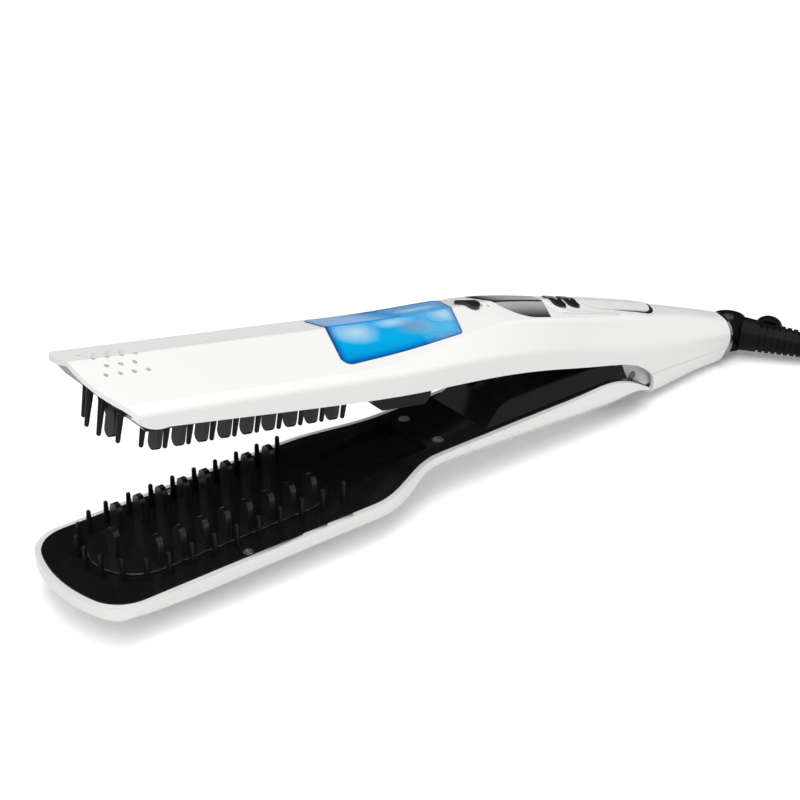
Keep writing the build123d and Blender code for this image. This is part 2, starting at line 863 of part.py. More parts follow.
# Torsion spring around the pin, with one leg under the bridge and one forward
coil_radius = pin_radius + 0.6 + spring_wire / 2
coil_pitch = spring_wire + 0.25
coil_half = spring_turns * coil_pitch / 2
turned = Plane(origin=(hinge_x, 0, hinge_z), x_dir=arm.x_dir, z_dir=(0, 1, 0))
with BuildPart() as hinge_spring:
    with BuildLine():
        coil = Helix(coil_pitch, 2 * coil_half, coil_radius, center=(0, 0, -coil_half))
    with BuildSketch(Plane(origin=coil @ 0, z_dir=coil % 0)):
        Circle(spring_wire / 2)
    sweep()
save(hinge_spring.part.moved(turned.location), "hinge_spring")

# Upper comb stations
comb_first_u = comb_first_x - hinge_x - upper_comb_lead
blade_us = [comb_first_u + k * comb_pitch for k in range(comb_count + 1)]
comb_rear_u = pump_front_u - 2.0
comb_front_u = upper_nose_u + 16.0
comb_top = upper_comb_level + upper_comb_thickness
upper_island_v = upper_comb_level - 2.4
upper_island_front = comb_first_u - 12.0
upper_island_rear = blade_us[-1] + 9.0
upper_tooth_tip = upper_blade_tip + 3.0
arc_centre_u = comb_first_x - hinge_x
upper_side_teeth = [(u, side * upper_tooth_row) for u in blade_us for side in (1, -1)]
upper_front_teeth = []
for k in range(6):
    turn = radians(90 + (k + 1.5) * tooth_step_angle)
    spot_u = arc_centre_u + upper_tooth_row * cos(turn)
    upper_front_teeth.append((spot_u, upper_tooth_row * sin(turn)))


def skirt_level(u):
    """Underside of the comb plate: flat, then rising under the nose."""
    rise = (upper_top(upper_nose_u) - upper_comb_level - 3.2) / (comb_front_u - upper_nose_u - 3)
    return upper_comb_level + max(comb_front_u - u, 0) * rise


# White roof of the upper arm, in one piece with the upper half of the handle
rim_line = [
    (upper_nose_u + 24, 20.2),
    (-197, 18.5),
    (upper_shoulder_u, 17.2),
    (-98, 16.6),
    (-60, 13.6),
    (-36, 11.0),
    (-16, 9.4),
    (0.2, 5.4),
    (6.8, 1.4),
]
parting = [(6.8, 1.4), (49, 5.0), (upper_end_u + 6, 6.6)]
tank_cut = tank_floor - 0.4


def tank_plan(level, grow):
    """Slanted outline that narrows to the rear, grown by grow on every side."""
    front = tank_front_half + grow
    rear = tank_rear_half + grow
    with BuildSketch(arm_level(level)) as outline:
        with BuildLine():
            Polyline(
                (tank_front_u - tank_slant - grow, -front),
                (tank_rear_u - tank_slant + grow, -rear),
                (tank_rear_u + tank_slant + grow, rear),
                (tank_front_u + tank_slant - grow, front),
                close=True,
            )
        make_face()
        fillet(outline.vertices(), 3.0 + grow)
    return outline.sketch


def display_plan(level, grow):
    half = display_half + grow
    front = display_front_u - grow
    rear = display_rear_u + grow
    with BuildSketch(arm_level(level)) as outline:
        with BuildLine():
            Spline((front - 2, half), (front + 1, 0), (front + 6, -0.68 * half), (front + 14, -half))
            Line((front + 14, -half), (rear - display_slant, -half))
            Line((rear - display_slant, -half), (rear + display_slant, half))
            Line((rear + display_slant, half), (front - 2, half))
        make_face()
    return outline.sketch


def button_plan(level, index, grow):
    with BuildSketch(arm_level(level)) as outline:
        with Locations((button_front_u + index * button_pitch, 0)):
            RectangleRounded(button_length + 2 * grow, button_width + 2 * grow, 2.6 + grow, rotation=-12)
    return outline.sketch


def thumb_plan(level, grow):
    span = thumb_rear_u - thumb_front_u - thumb_width
    with BuildSketch(arm_level(level)) as outline:
        with Locations(((thumb_front_u + thumb_rear_u) / 2, 0)):
            SlotCenterToCenter(span, thumb_width + 2 * grow)
    return outline.sketch


def switch_slot(level, grow):
    with BuildSketch(arm_level(level)) as outline:
        with Locations((switch_u + switch_travel / 2, switch_y)):
            SlotCenterToCenter(switch_travel, 2 * (switch_stem + grow))
    return outline.sketch


def bezel_plan(level, grow):
    front = button_front_u - button_length
    rear = thumb_rear_u + 2.5
    wide = button_width + 5
    with BuildSketch(arm_level(level)) as outline:
        with Locations(((front + rear) / 2, 0)):
            SlotCenterToCenter(rear - front - wide, wide + 2 * grow)
    return outline.sketch


vent_spots = []
for row in range(-2, 3):
    count = 3 + (row + 1) % 2
    first = upper_nose_u + 18 - (count - 1) * 2.75
    vent_spots += [(first + 5.5 * k, 4.5 * row) for k in range(count)]

bezel_rise = 0.5
with BuildPart() as pad:
    add(risen(upper_outer, bezel_rise))
    add(arm_prism(24, 50, bezel_plan, 0), mode=Mode.INTERSECT)

with BuildPart() as roof:
    add(upper_outer)
    add(pad.part)
    add(upper_hollow, mode=Mode.SUBTRACT)
    add(arm_prism(tank_cut, 60, tank_plan, 0.2), mode=Mode.SUBTRACT)
    add(arm_prism(26, 60, display_plan, part_gap), mode=Mode.SUBTRACT)
    add(arm_prism(24, 60, button_plan, 0, control_gap), mode=Mode.SUBTRACT)
    add(arm_prism(24, 60, button_plan, 1, control_gap), mode=Mode.SUBTRACT)
    add(arm_prism(20, 60, thumb_plan, control_gap), mode=Mode.SUBTRACT)
    add(arm_prism(26, 60, switch_slot, 0.2), mode=Mode.SUBTRACT)
    with BuildSketch(arm_level(24)):
        with Locations(*vent_spots):
            Circle(0.9)
    extrude(amount=30, mode=Mode.SUBTRACT)

with BuildPart() as upper_shell:
    add(roof.part)
    with BuildSketch(arm_side):
        with BuildLine():
            Line((upper_nose_u - 12, rim_line[0][1] + 4), (upper_nose_u + 10, rim_line[0][1] + 4))
            bend_mid = (upper_nose_u + 14, rim_line[0][1] + 1.1)
            ThreePointArc((upper_nose_u + 10, rim_line[0][1] + 4), bend_mid, rim_line[0])
            Spline(rim_line, tangents=[(1, -0.03), (0.75, -0.66)])
            Polyline(
                parting[0],
                parting[1],
                parting[2],
                (parting[2][0], -40),
                (upper_nose_u - 12, -40),
                (upper_nose_u - 12, rim_line[0][1] + 4),
            )
        make_face()
    extrude(amount=60, both=True, mode=Mode.SUBTRACT)
    boss_high = upper_top(yoke_screw_u + 5.5) - 1.4
    with BuildSketch(arm_level(bridge_top + 0.05)):
        with Locations((yoke_screw_u, 0), (yoke_screw_u + 5.5, 0)):
            Circle(boss_radius)
            Circle(1.33, mode=Mode.SUBTRACT)
    extrude(amount=boss_high - bridge_top)
save(upper_shell.part, "upper_shell")

with BuildPart() as handle_cover:
    add(roof.part)
    with BuildSketch(arm_side):
        with BuildLine():
            Polyline((11.4, -30), (upper_end_u + 6, -30), (upper_end_u + 6, parting[2][1] - part_gap))
            Polyline(
                (upper_end_u + 6, parting[2][1] - part_gap),
                (parting[1][0], parting[1][1] - part_gap),
                (parting[0][0] + 0.4, parting[0][1] - part_gap),
            )
            start = (parting[0][0] + 0.4, parting[0][1] - part_gap)
            ThreePointArc(start, (10.2, -2.4), (11.4, -7))
            Line((11.4, -7), (11.4, -30))
        make_face()
    extrude(amount=60, both=True, mode=Mode.INTERSECT)
save(handle_cover.part, "handle_cover")
# Black comb plate with its outer teeth and the skirt that closes the nose
with BuildPart() as paddle_inner:
    add(upper_section(upper_shoulder_u, roof_wall + part_gap))
    extrude(amount=upper_shoulder_u - upper_nose_u + 6, dir=-arm.x_dir)
    add(upper_section(upper_shoulder_u, roof_wall + part_gap))
    extrude(amount=6, dir=arm.x_dir)
    add(upper_nose(roof_wall))
    extrude(amount=100, dir=arm.z_dir, mode=Mode.SUBTRACT)


def comb_slot(level, grow):
    span = upper_island_rear - upper_island_front - 2 * island_half
    with BuildSketch(arm_level(level)) as outline:
        with Locations(((upper_island_front + upper_island_rear) / 2, 0)):
            SlotCenterToCenter(span, 2 * (island_half + grow))
    return outline.sketch


nose_end = upper_nose_u + 1.0
with BuildPart() as upper_plate:
    with BuildSketch(arm_side):
        with BuildLine():
            Polyline(
                (nose_end, skirt_level(nose_end)),
                (comb_front_u, upper_comb_level),
                (comb_rear_u, upper_comb_level),
                (comb_rear_u, comb_top),
                (comb_front_u - 0.9, comb_top),
                (nose_end, skirt_level(nose_end) + 2.3),
                close=True,
            )
        make_face()
    extrude(amount=40, both=True)
    add(paddle_inner.part, mode=Mode.INTERSECT)
    add(arm_prism(10, 22, comb_slot, part_gap), mode=Mode.SUBTRACT)
    for u, y in upper_side_teeth + upper_front_teeth:
        low = upper_tooth_tip + tooth_radius
        height = skirt_level(u) + 0.9 - low
        foot = tooth_radius + height * tan(radians(tooth_taper))
        with Locations(Plane(origin=arm_point(u, y, low), x_dir=arm.x_dir, z_dir=arm.z_dir)):
            Cone(tooth_radius, foot, height, align=lifted)
            Sphere(tooth_radius)
save(upper_plate.part, "upper_comb_plate")

# Upper heating comb, heater and evaporator
with BuildPart() as upper_comb:
    add(arm_prism(upper_island_v, comb_top, comb_slot, 0))
    rows = (-blade_row - 0.8, blade_row + 0.8)
    blade_planes = [arm_section(u - blade_thickness / 2) for u in blade_us]
    with BuildSketch(*blade_planes):
        blade_face(blade_width / 2, upper_island_v + 1, upper_blade_tip, rows)
    extrude(amount=blade_thickness)
    with BuildSketch(arm_section(comb_first_u - front_blade_lead - blade_thickness / 2)):
        blade_face(blade_width / 2, upper_island_v + 1, upper_blade_tip, (0,))
    extrude(amount=blade_thickness)
save(upper_comb.part, "upper_heating_comb")

chamber_front = comb_first_u + 4
chamber_rear = tank_front_u - tank_slant - 3
chamber_mid = (chamber_front + chamber_rear) / 2
chamber_length = chamber_rear - chamber_front
heater_low = comb_top + 0.02
heater_high = heater_low + 2.0
with BuildPart() as upper_heater:
    with BuildSketch(arm_level(heater_low)):
        with Locations((chamber_mid, 0)):
            RectangleRounded(chamber_length, 2 * heater_half, 2)
    extrude(amount=2.0)
save(upper_heater.part, "upper_heater")

chamber_wall = 1.2
with BuildPart() as steam_chamber:
    with BuildSketch(arm_level(heater_high)):
        with Locations((chamber_mid, 0)):
            RectangleRounded(chamber_length, 30, 4)
    extrude(amount=4.5)
    with BuildSketch(arm_level(heater_high + chamber_wall)):
        with Locations((chamber_mid, 0)):
            RectangleRounded(chamber_length - 2 * chamber_wall, 30 - 2 * chamber_wall, 3)
    extrude(amount=4.5 - 2 * chamber_wall, mode=Mode.SUBTRACT)
    with BuildSketch(arm_section(chamber_rear - chamber_wall)):
        with Locations((6, heater_high + 2.2)):
            Circle(1.0)
    extrude(amount=2 * chamber_wall, mode=Mode.SUBTRACT)
save(steam_chamber.part, "steam_chamber")

# Pump block between the arms, with its flange and plunger
plunger_u = (pump_front_u + 8 + pump_rear_u - 3.4) / 2
with BuildPart() as pump_block:
    with BuildSketch(arm_side):
        with BuildLine():
            Polyline(
                (pump_front_u, upper_comb_level + 0.4),
                (pump_front_u, pump_bottom + 7),
                (pump_front_u + 8, pump_bottom),
                (pump_rear_u - 3.4, pump_bottom),
                (pump_rear_u, pump_bottom + 4.8),
                (pump_rear_u, upper_comb_level + 0.4),
                close=True,
            )
        make_face()
    extrude(amount=pump_half, both=True)
    fillet(pump_block.edges().filter_by(Axis(arm.origin, arm.z_dir)), 2.0)
    with BuildSketch(arm_level(upper_comb_level)):
        with Locations(((pump_front_u + pump_rear_u) / 2, 0)):
            RectangleRounded(pump_rear_u - pump_front_u + 2.4, 45, 2)
    extrude(amount=upper_comb_thickness)
    with BuildSketch(arm_level(0)):
        with Locations((plunger_u, 0)):
            Circle(plunger_radius + 0.15)
    extrude(amount=pump_bottom + 10, mode=Mode.SUBTRACT)
save(pump_block.part, "pump_block")

plunger_tip = pump_bottom - plunger_reach
with BuildPart() as pump_plunger:
    with BuildSketch(arm_level(plunger_tip)):
        with Locations((plunger_u, 0)):
            Circle(plunger_radius)
    extrude(amount=plunger_reach + 5)
    fillet(pump_plunger.edges().filter_by(GeomType.CIRCLE), 0.8)
save(pump_plunger.part, "pump_plunger")

cover_front_u = pump_rear_u + 1.6
cover_rear_u = upper_waist_u - 5
dip = upper_comb_level - 3.2
with BuildPart() as inner_cover:
    with BuildSketch(arm_level(0)):
        with BuildLine():
            edge_us = samples(cover_front_u, cover_rear_u, 5)
            near = [(u, -upper_half(u) + roof_wall + 1.0) for u in edge_us]
            far = [(u, -y) for u, y in near]
            Spline(near)
            Spline(far)
            Line(near[0], far[0])
            Line(near[-1], far[-1])
        make_face()
    extrude(amount=40)
    with BuildSketch(arm_side):
        with BuildLine():
            Polyline(
                (cover_front_u - 1, upper_comb_level),
                (cover_front_u + 37, dip),
                (cover_rear_u + 1, dip),
                (cover_rear_u + 1, dip + upper_comb_thickness),
                (cover_front_u + 37, dip + upper_comb_thickness),
                (cover_front_u - 1, comb_top),
                close=True,
            )
        make_face()
    extrude(amount=40, both=True, mode=Mode.INTERSECT)
save(inner_cover.part, "upper_inner_cover")

# Water tank that lifts off the roof
with BuildPart() as tank_cavity:
    add(risen(upper_outer, tank_proud - 1.6))
    add(arm_prism(tank_floor + tank_wall, 60, tank_plan, -tank_wall), mode=Mode.INTERSECT)
with BuildPart() as tank:
    add(risen(upper_outer, tank_proud))
    add(arm_prism(tank_floor, 60, tank_plan, 0), mode=Mode.INTERSECT)
    add(tank_cavity.part, mode=Mode.SUBTRACT)
    with BuildSketch(arm_level(tank_floor)):
        with Locations((tank_rear_u - 14, 6)):
            Circle(plug_radius)
    extrude(amount=tank_wall, mode=Mode.SUBTRACT)
save(tank.part, "water_tank")

with BuildPart() as tank_plug:
    with BuildSketch(arm_level(tank_floor)):
        with Locations((tank_rear_u - 14, 6)):
            Circle(plug_radius - 0.02)
    extrude(amount=tank_wall)
    with BuildSketch(arm_level(tank_floor + tank_wall)):
        with Locations((tank_rear_u - 14, 6)):
            Circle(plug_radius + 0.8)
    extrude(amount=1.2)
save(tank_plug.part, "tank_plug")

# Display, buttons, switch and thumb plate
with BuildPart() as display:
    add(risen(upper_outer, -0.05))
    add(arm_prism(26, 60, display_plan, 0), mode=Mode.INTERSECT)
    add(risen(upper_outer, -1.3), mode=Mode.SUBTRACT)
save(display.part, "display_window")

board_low = dip + upper_comb_thickness + 3.5
board_thickness = 1.6
lcd_height = 3.8
display_mid = (display_front_u + display_rear_u) / 2
with BuildPart() as lcd_panel:
    with BuildSketch(arm_level(board_low + lcd_height)):
        with Locations((display_mid + 1, 0)):
            RectangleRounded(30, 17, 1)
    extrude(amount=1.6)
    with BuildSketch(arm_level(board_low + board_thickness)):
        with Locations((display_mid + 1, 0)):
            Circle(1.2)
        with Locations((display_mid - 9, 5), (display_mid - 9, -5), (display_mid + 11, 5), (display_mid + 11, -5)):
            Circle(1.2)
    extrude(amount=lcd_height - board_thickness)
save(lcd_panel.part, "lcd_panel")

board_front = tank_rear_u + tank_slant + 3
board_rear = upper_waist_u - 4
with BuildPart() as circuit_board:
    with BuildSketch(arm_level(board_low)):
        with Locations(((board_front + board_rear) / 2, 0)):
            RectangleRounded(board_rear - board_front, 20, 1)
    extrude(amount=board_thickness)
save(circuit_board.part, "circuit_board")

switch_low = board_low + board_thickness
switch_height = 1.4
stem_low = switch_low + switch_height + button_travel + 0.1
button_base = 28.0
for index, name in enumerate(("plus_button", "minus_button")):
    with BuildPart() as button:
        add(risen(upper_outer, bezel_rise + button_proud))
        add(arm_prism(button_base, 60, button_plan, index, 0), mode=Mode.INTERSECT)
        with BuildSketch(arm_level(stem_low)):
            with Locations((button_front_u + index * button_pitch, 0)):
                Circle(1.5)
        extrude(amount=button_base + 0.5 - stem_low)
    save(button.part, name)

with BuildPart() as tact_switches:
    with BuildSketch(arm_level(switch_low)):
        with Locations((button_front_u, 0), (button_front_u + button_pitch, 0)):
            Rectangle(5, 5)
    extrude(amount=switch_height)
save(tact_switches.part, "tact_switches")

knob_low = 0.4
with BuildPart() as steam_switch:
    with BuildSketch(arm_level(28)) as drop:
        with Locations(switch_head):
            Circle(switch_head_radius)
        with Locations(switch_tail):
            Circle(switch_tail_radius)
        make_hull()
    extrude(amount=20)
    add(risen(upper_outer, 1.5), mode=Mode.INTERSECT)
    add(risen(upper_outer, knob_low), mode=Mode.SUBTRACT)
    stem_top = upper_top(switch_u) + 0.6
    with BuildSketch(arm_level(stem_top - 5.4)):
        with Locations((switch_u, switch_y)):
            Circle(switch_stem)
    extrude(amount=5.4)
    with BuildSketch(arm_level(stem_top - 6.4)):
        with Locations((switch_u, switch_y)):
            Circle(switch_stem + 1.2)
    extrude(amount=1.0)
save(steam_switch.part, "steam_switch")

thumb_low_front = upper_top(thumb_front_u) - 3.2
thumb_low_rear = upper_top(thumb_rear_u) - 4.2
with BuildPart() as thumb_plate:
    add(risen(upper_outer, bezel_rise + 0.4))
    add(arm_prism(14, 60, thumb_plan, 0), mode=Mode.INTERSECT)
    with BuildSketch(arm_side):
        with BuildLine():
            Polyline(
                (thumb_front_u - 2, thumb_low_front),
                (thumb_rear_u + 2, thumb_low_rear),
                (thumb_rear_u + 2, 60),
                (thumb_front_u - 2, 60),
                close=True,
            )
        make_face()
    extrude(amount=30, both=True, mode=Mode.INTERSECT)
    with BuildSketch(arm_side):
        with Locations((thumb_axis_u, thumb_axis_v)):
            Circle(thumb_barrel_radius)
    extrude(amount=thumb_barrel_half, both=True)
save(thumb_plate.part, "thumb_plate")

# Screws of the yoke and the leads through the handle
yoke_spots = [(yoke_screw_u, 0), (yoke_screw_u + 5.5, 0)]
with BuildPart() as yoke_screws:
    with BuildSketch(arm_level(bridge_bottom)):
        with Locations(*yoke_spots):
            Circle(2.2)
    extrude(amount=-1.2)
    with BuildSketch(arm_level(bridge_bottom)):
        with Locations(*yoke_spots):
            Circle(1.3)
    extrude(amount=11)
save(yoke_screws.part, "yoke_screws")

lead_v = (bridge_top + 18) / 2
with BuildPart() as leads:
    with BuildSketch(arm_section(board_rear + 1)):
        with Locations((-5.5, lead_v), (5.5, lead_v)):
            Circle(1.1)
    extrude(amount=upper_end_u - 14 - board_rear)
save(leads.part, "power_leads")

# Ring at the end of the handle and the fork that swivels in it
handle_end = Plane(origin=arm_point(0, 0, handle_axis_v), x_dir=(0, 1, 0), z_dir=arm.x_dir)


def handle_face(u):
    return handle_end.offset(u)


web = 1.6
stub_radius = ring_bore - 2.9
with BuildPart() as end_ring:
    with BuildSketch(handle_face(upper_end_u)):
        Circle(ring_radius)
    extrude(amount=ring_length, taper=6)
    fillet(end_ring.edges().filter_by(GeomType.CIRCLE), 0.5)
    with BuildSketch(handle_face(upper_end_u + web)):
        Circle(ring_bore)
    extrude(amount=ring_length, mode=Mode.SUBTRACT)
    with BuildSketch(handle_face(upper_end_u - 1)):
        Circle(stub_radius + 0.1)
    extrude(amount=ring_length, mode=Mode.SUBTRACT)
save(end_ring.part, "end_ring")

swing_half = knuckle_half + 0.15
fork_half = swing_half + fork_cheek
swing = Plane(origin=(swing_pin_x, 0, swing_pin_z), x_dir=(1, 0, 0), z_dir=(0, 0, 1))
with BuildPart() as swivel_fork:
    with BuildSketch(handle_face(upper_end_u + web + 0.2)):
        Circle(base_radius)
    extrude(amount=ring_length - web - 0.2)
    with BuildSketch(handle_face(upper_end_u - 2.8)):
        Circle(stub_radius)
    extrude(amount=web + 4)
    with BuildSketch(handle_face(upper_end_u - 2.8)):
        Circle(stub_radius + 0.6)
    extrude(amount=2.6)
    with BuildSketch(handle_face(upper_end_u + ring_length - 0.2)):
        Circle(base_radius - 0.6)
    extrude(amount=1.2)
    with BuildSketch(swing.offset(-fork_half)):
        Circle(fork_radius)
        with Locations((-fork_radius / 2, 0)):
            Rectangle(fork_radius, 10.8)
    extrude(amount=2 * fork_half)
    with BuildSketch(swing.offset(-swing_half)):
        with Locations((20 - knuckle_radius - 0.4, 0)):
            Rectangle(40, 40)
    extrude(amount=2 * swing_half, mode=Mode.SUBTRACT)
    with BuildSketch(swing.offset(-20)):
        Circle(swing_pin_radius + 0.02)
    extrude(amount=40, mode=Mode.SUBTRACT)
save(swivel_fork.part, "swivel_fork")

with BuildPart() as swing_pin:
    with BuildSketch(swing.offset(-fork_half)):
        Circle(swing_pin_radius)
    extrude(amount=2 * fork_half)
    with BuildSketch(swing.offset(fork_half)):
        Circle(swing_pin_radius + 0.9)
    extrude(amount=0.6)
save(swing_pin.part, "swing_pin")

relief_yaw_r = radians(relief_yaw)
relief_pitch_r = radians(relief_pitch)
relief_dir = Vector(
    cos(relief_yaw_r) * cos(relief_pitch_r),
    sin(relief_yaw_r) * cos(relief_pitch_r),
    sin(relief_pitch_r),
)
relief_side = Plane(
    origin=swing.origin,
    x_dir=relief_dir,
    z_dir=(sin(relief_yaw_r), -cos(relief_yaw_r), 0),
)
relief_end = relief_start + relief_length
stem_radius = 2.2
with BuildPart() as knuckle:
    with BuildSketch(swing.offset(-knuckle_half)):
        Circle(knuckle_radius)
        with Locations(Location((0, 0, 0), (0, 0, relief_yaw))):
            with Locations((knuckle_reach / 2, 0)):
                Rectangle(knuckle_reach, 2 * knuckle_radius - 0.4)
    extrude(amount=2 * knuckle_half)
    with BuildSketch(Plane(origin=swing.origin + relief_dir * 6, z_dir=relief_dir)):
        Circle(stem_radius)
    extrude(amount=12)
    with BuildSketch(swing.offset(-20)):
        Circle(swing_pin_radius + pin_fit)
    extrude(amount=40, mode=Mode.SUBTRACT)
save(knuckle.part, "cord_knuckle")


def relief_radius(s):
    return mix(relief_root, relief_tip, (s - relief_start) / relief_length)


rib_first = relief_start + 9.0
rib_count = int((relief_end - rib_first - 2) / rib_pitch)
with BuildPart() as strain_relief:
    with BuildSketch(relief_side):
        with BuildLine():
            outline = [(relief_start + 0.4, 0), (relief_start + 0.4, relief_radius(relief_start) - 1)]
            outline.append((relief_start + 1.2, relief_radius(relief_start)))
            outline.append((rib_first, relief_radius(rib_first)))
            for k in range(rib_count):
                s = rib_first + k * rib_pitch
                outline.append((s, relief_radius(s) - rib_depth))
                outline.append((s + rib_groove, relief_radius(s + rib_groove) - rib_depth))
                outline.append((s + rib_groove, relief_radius(s + rib_groove)))
                outline.append((s + rib_pitch, relief_radius(s + rib_pitch)))
            outline.append((relief_end, relief_radius(relief_end)))
            outline.append((relief_end, 0))
            Polyline(*outline, close=True)
        make_face()
    revolve(axis=Axis(relief_side.origin, relief_dir))
    with BuildSketch(swing.offset(-20)):
        Circle(fork_radius + 0.15)
    extrude(amount=40, mode=Mode.SUBTRACT)
    with BuildSketch(Plane(origin=swing.origin + relief_dir * 5, z_dir=relief_dir)):
        Circle(stem_radius + 0.03)
    extrude(amount=13.5, mode=Mode.SUBTRACT)
    with BuildSketch(relief_side.offset(-1.6)):
        with BuildLine():
            loop_mid = (loop_start + loop_length / 2, relief_radius(loop_start) + loop_height)
            loop_from = (loop_start, relief_radius(loop_start) - 1.5)
            loop_to = (loop_start + loop_length, relief_radius(loop_start + loop_length) - 1.5)
            ThreePointArc(loop_from, loop_mid, loop_to)
            Line(loop_to, loop_from)
        make_face()
    extrude(amount=3.2)
    with BuildSketch(relief_side.offset(-3)):
        with Locations((loop_start + loop_length / 2, loop_mid[1] - 2.2)):
            SlotCenterToCenter(loop_length - 8.0, 1.3, rotation=-2)
    extrude(amount=6, mode=Mode.SUBTRACT)
save(strain_relief.part, "strain_relief")

# Cord: lead from the strain relief, flat hank of two layers, tie and plug
cord_r = cord_diameter / 2
low_layer = cord_r + 0.9
high_layer = low_layer + hank_layer
lead_from = swing.origin + relief_dir * relief_end
lead_bend = lead_from + Vector(relief_dir.X, relief_dir.Y, 0).normalized() * 14 + Vector(0, 0, -1.1)
hank_outer = hank_inner + (hank_loops - 1) * hank_step
hank_x = lead_bend.X + 46
hank_end_x = hank_x + hank_run
lane_y = lead_bend.Y - 10
hank_y = lane_y + hank_outer
lead_points = [lead_from, lead_bend, (lead_bend.X + 14, lane_y, low_layer), (hank_x, lane_y, low_layer)]


def bend_radii(points):
    """Radius at each inner point: 0.45 of the shorter run over tan(half turn)."""
    spots = [Vector(p) if isinstance(p, Vector) else Vector(*p) for p in points]
    radii = []
    for before, here, after in zip(spots, spots[1:], spots[2:]):
        turn = radians((here - before).get_angle(after - here))
        short = min((here - before).length, (after - here).length)
        radii.append(0.45 * short / tan(turn / 2))
    return radii


lead_radii = bend_radii(lead_points)
print("lead bend radii", [round(r, 1) for r in lead_radii])
with BuildPart() as cord:
    with BuildLine() as lead_line:
        FilletPolyline(*lead_points, radius=lead_radii)
    with BuildSketch(Plane(origin=lead_from, z_dir=lead_bend - lead_from)):
        Circle(cord_r)
    sweep()
lead_length = lead_line.wire().length
save(cord.part, "cord")
print("lead volume over section", round(cord.part.volume / (pi * cord_r**2), 2), "length", round(lead_length, 2))

# The hank winds inwards on the lower layer, climbs along its innermost run and
# winds outwards on the upper layer. Every run is drawn in at the waist.
mid_x = (hank_x + hank_end_x) / 2
ahead = Vector(1, 0, 0)
back = Vector(-1, 0, 0)


def run_points(x_from, x_to, side_from, z_from, z_to):
    """Knots (point, direction) of one run that is drawn in at its middle."""
    way = ahead if x_to > x_from else back
    inward = -1 if side_from > 0 else 1
    rise = Vector(0, 0, 2 * (z_to - z_from) / hank_run)
    waist = Vector(mid_x, hank_y + side_from + inward * hank_draw, (z_from + z_to) / 2)
    start = Vector(x_from, hank_y + side_from, z_from)
    stop = Vector(x_to, hank_y + side_from, z_to)
    return [(start, way), (waist, (way + rise).normalized()), (stop, way)]


knots = []
offset = hank_outer
for loop in range(hank_loops):
    knots += run_points(hank_x, hank_end_x, -offset, low_layer, low_layer)
    climb = loop == hank_loops - 1
    knots += run_points(hank_end_x, hank_x, offset, low_layer, high_layer if climb else low_layer)
    offset -= hank_step
offset += hank_step
for loop in range(hank_loops - 1):
    offset += hank_step
    knots += run_points(hank_x, hank_end_x, -offset, high_layer, high_layer)
    knots += run_points(hank_end_x, hank_x, offset, high_layer, high_layer)
tail_y = hank_y + hank_outer + 2 * hank_inner
plug_z = 7.2
plug_x = hank_x + 34
knots.append((Vector(hank_x, tail_y, high_layer - 1.4), ahead))
knots.append((Vector(plug_x, tail_y, plug_z), ahead))


def biarc(start, start_way, stop, stop_way):
    """Two tangent arcs between two knots, or one line when they are in line."""
    gap = stop - start
    if gap.cross(start_way).length < 1e-6 and gap.cross(stop_way).length < 1e-6:
        return [("line", start, stop)]
    total = start_way + stop_way
    lean = 2 * (1 - start_way.dot(stop_way))
    if lean < 1e-9:
        reach = gap.dot(gap) / (4 * gap.dot(start_way))
    else:
        along = gap.dot(total)
        reach = (sqrt(along**2 + lean * gap.dot(gap)) - along) / lean
    first = start + start_way * reach
    second = stop - stop_way * reach
    joint = (first + second) * 0.5
    pieces = []
    for a, corner, b in ((start, first, joint), (joint, second, stop)):
        weight = (b - a).length / (2 * (corner - a).length)
        middle = (a + corner * (2 * weight) + b) * (1 / (2 + 2 * weight))
        pieces.append(("arc", a, middle, b))
    return pieces


curves = []
for (here, way), (there, next_way) in zip(knots, knots[1:]):
    if (there - here).length < 1e-6:
        continue
    opposite = way.dot(next_way) < -0.99 and abs((there - here).dot(way)) < 1e-6
    if opposite:
        middle = (here + there) * 0.5 + way * ((there - here).length / 2)
        curves.append(("arc", here, middle, there))
    else:
        curves += biarc(here, way, there, next_way)
with BuildPart() as hank:
    with BuildLine() as hank_line:
        for curve in curves:
            if curve[0] == "line":
                Line(curve[1], curve[2])
            else:
                ThreePointArc(*curve[1:])
    with BuildSketch(Plane(origin=(hank_x, lane_y, low_layer), z_dir=(1, 0, 0))):
        Circle(cord_r)
    sweep()
hank_length = hank_line.wire().length
save(hank.part, "cord_hank")
print("hank volume over section", round(hank.part.volume / (pi * cord_r**2), 1), "length", round(hank_length, 1))
print("cord length in all", round(lead_length + hank_length, 1))
print("smallest fold radius", hank_inner, "at a cord of", cord_diameter)

trace = [hank_line.wire() @ (k / 900) for k in range(901)]
apart = hank_length / 900
skip = int(3 * cord_diameter / apart) + 1
nearest = min((trace[i] - trace[j]).length for i in range(901) for j in range(i + skip, 901))
print("least gap of the hank to itself", round(nearest - cord_diameter, 2))

tie_half = hank_outer - hank_draw + cord_r + 0.45
tie_low = low_layer - cord_r - 0.06
tie_high = high_layer + cord_r + 0.06
tie_section = Plane(origin=(mid_x - tie_width / 2, hank_y, 0), x_dir=(0, 1, 0), z_dir=(1, 0, 0))
tie_mid = (tie_low + tie_high) / 2
tie_tall = tie_high - tie_low
with BuildPart() as tie:
    with BuildSketch(tie_section):
        with Locations((0, tie_mid)):
            RectangleRounded(2 * (tie_half + tie_thickness), tie_tall + 2 * tie_thickness, cord_r + tie_thickness)
            RectangleRounded(2 * tie_half, tie_tall, cord_r, mode=Mode.SUBTRACT)
    extrude(amount=tie_width)
save(tie.part, "cord_tie")

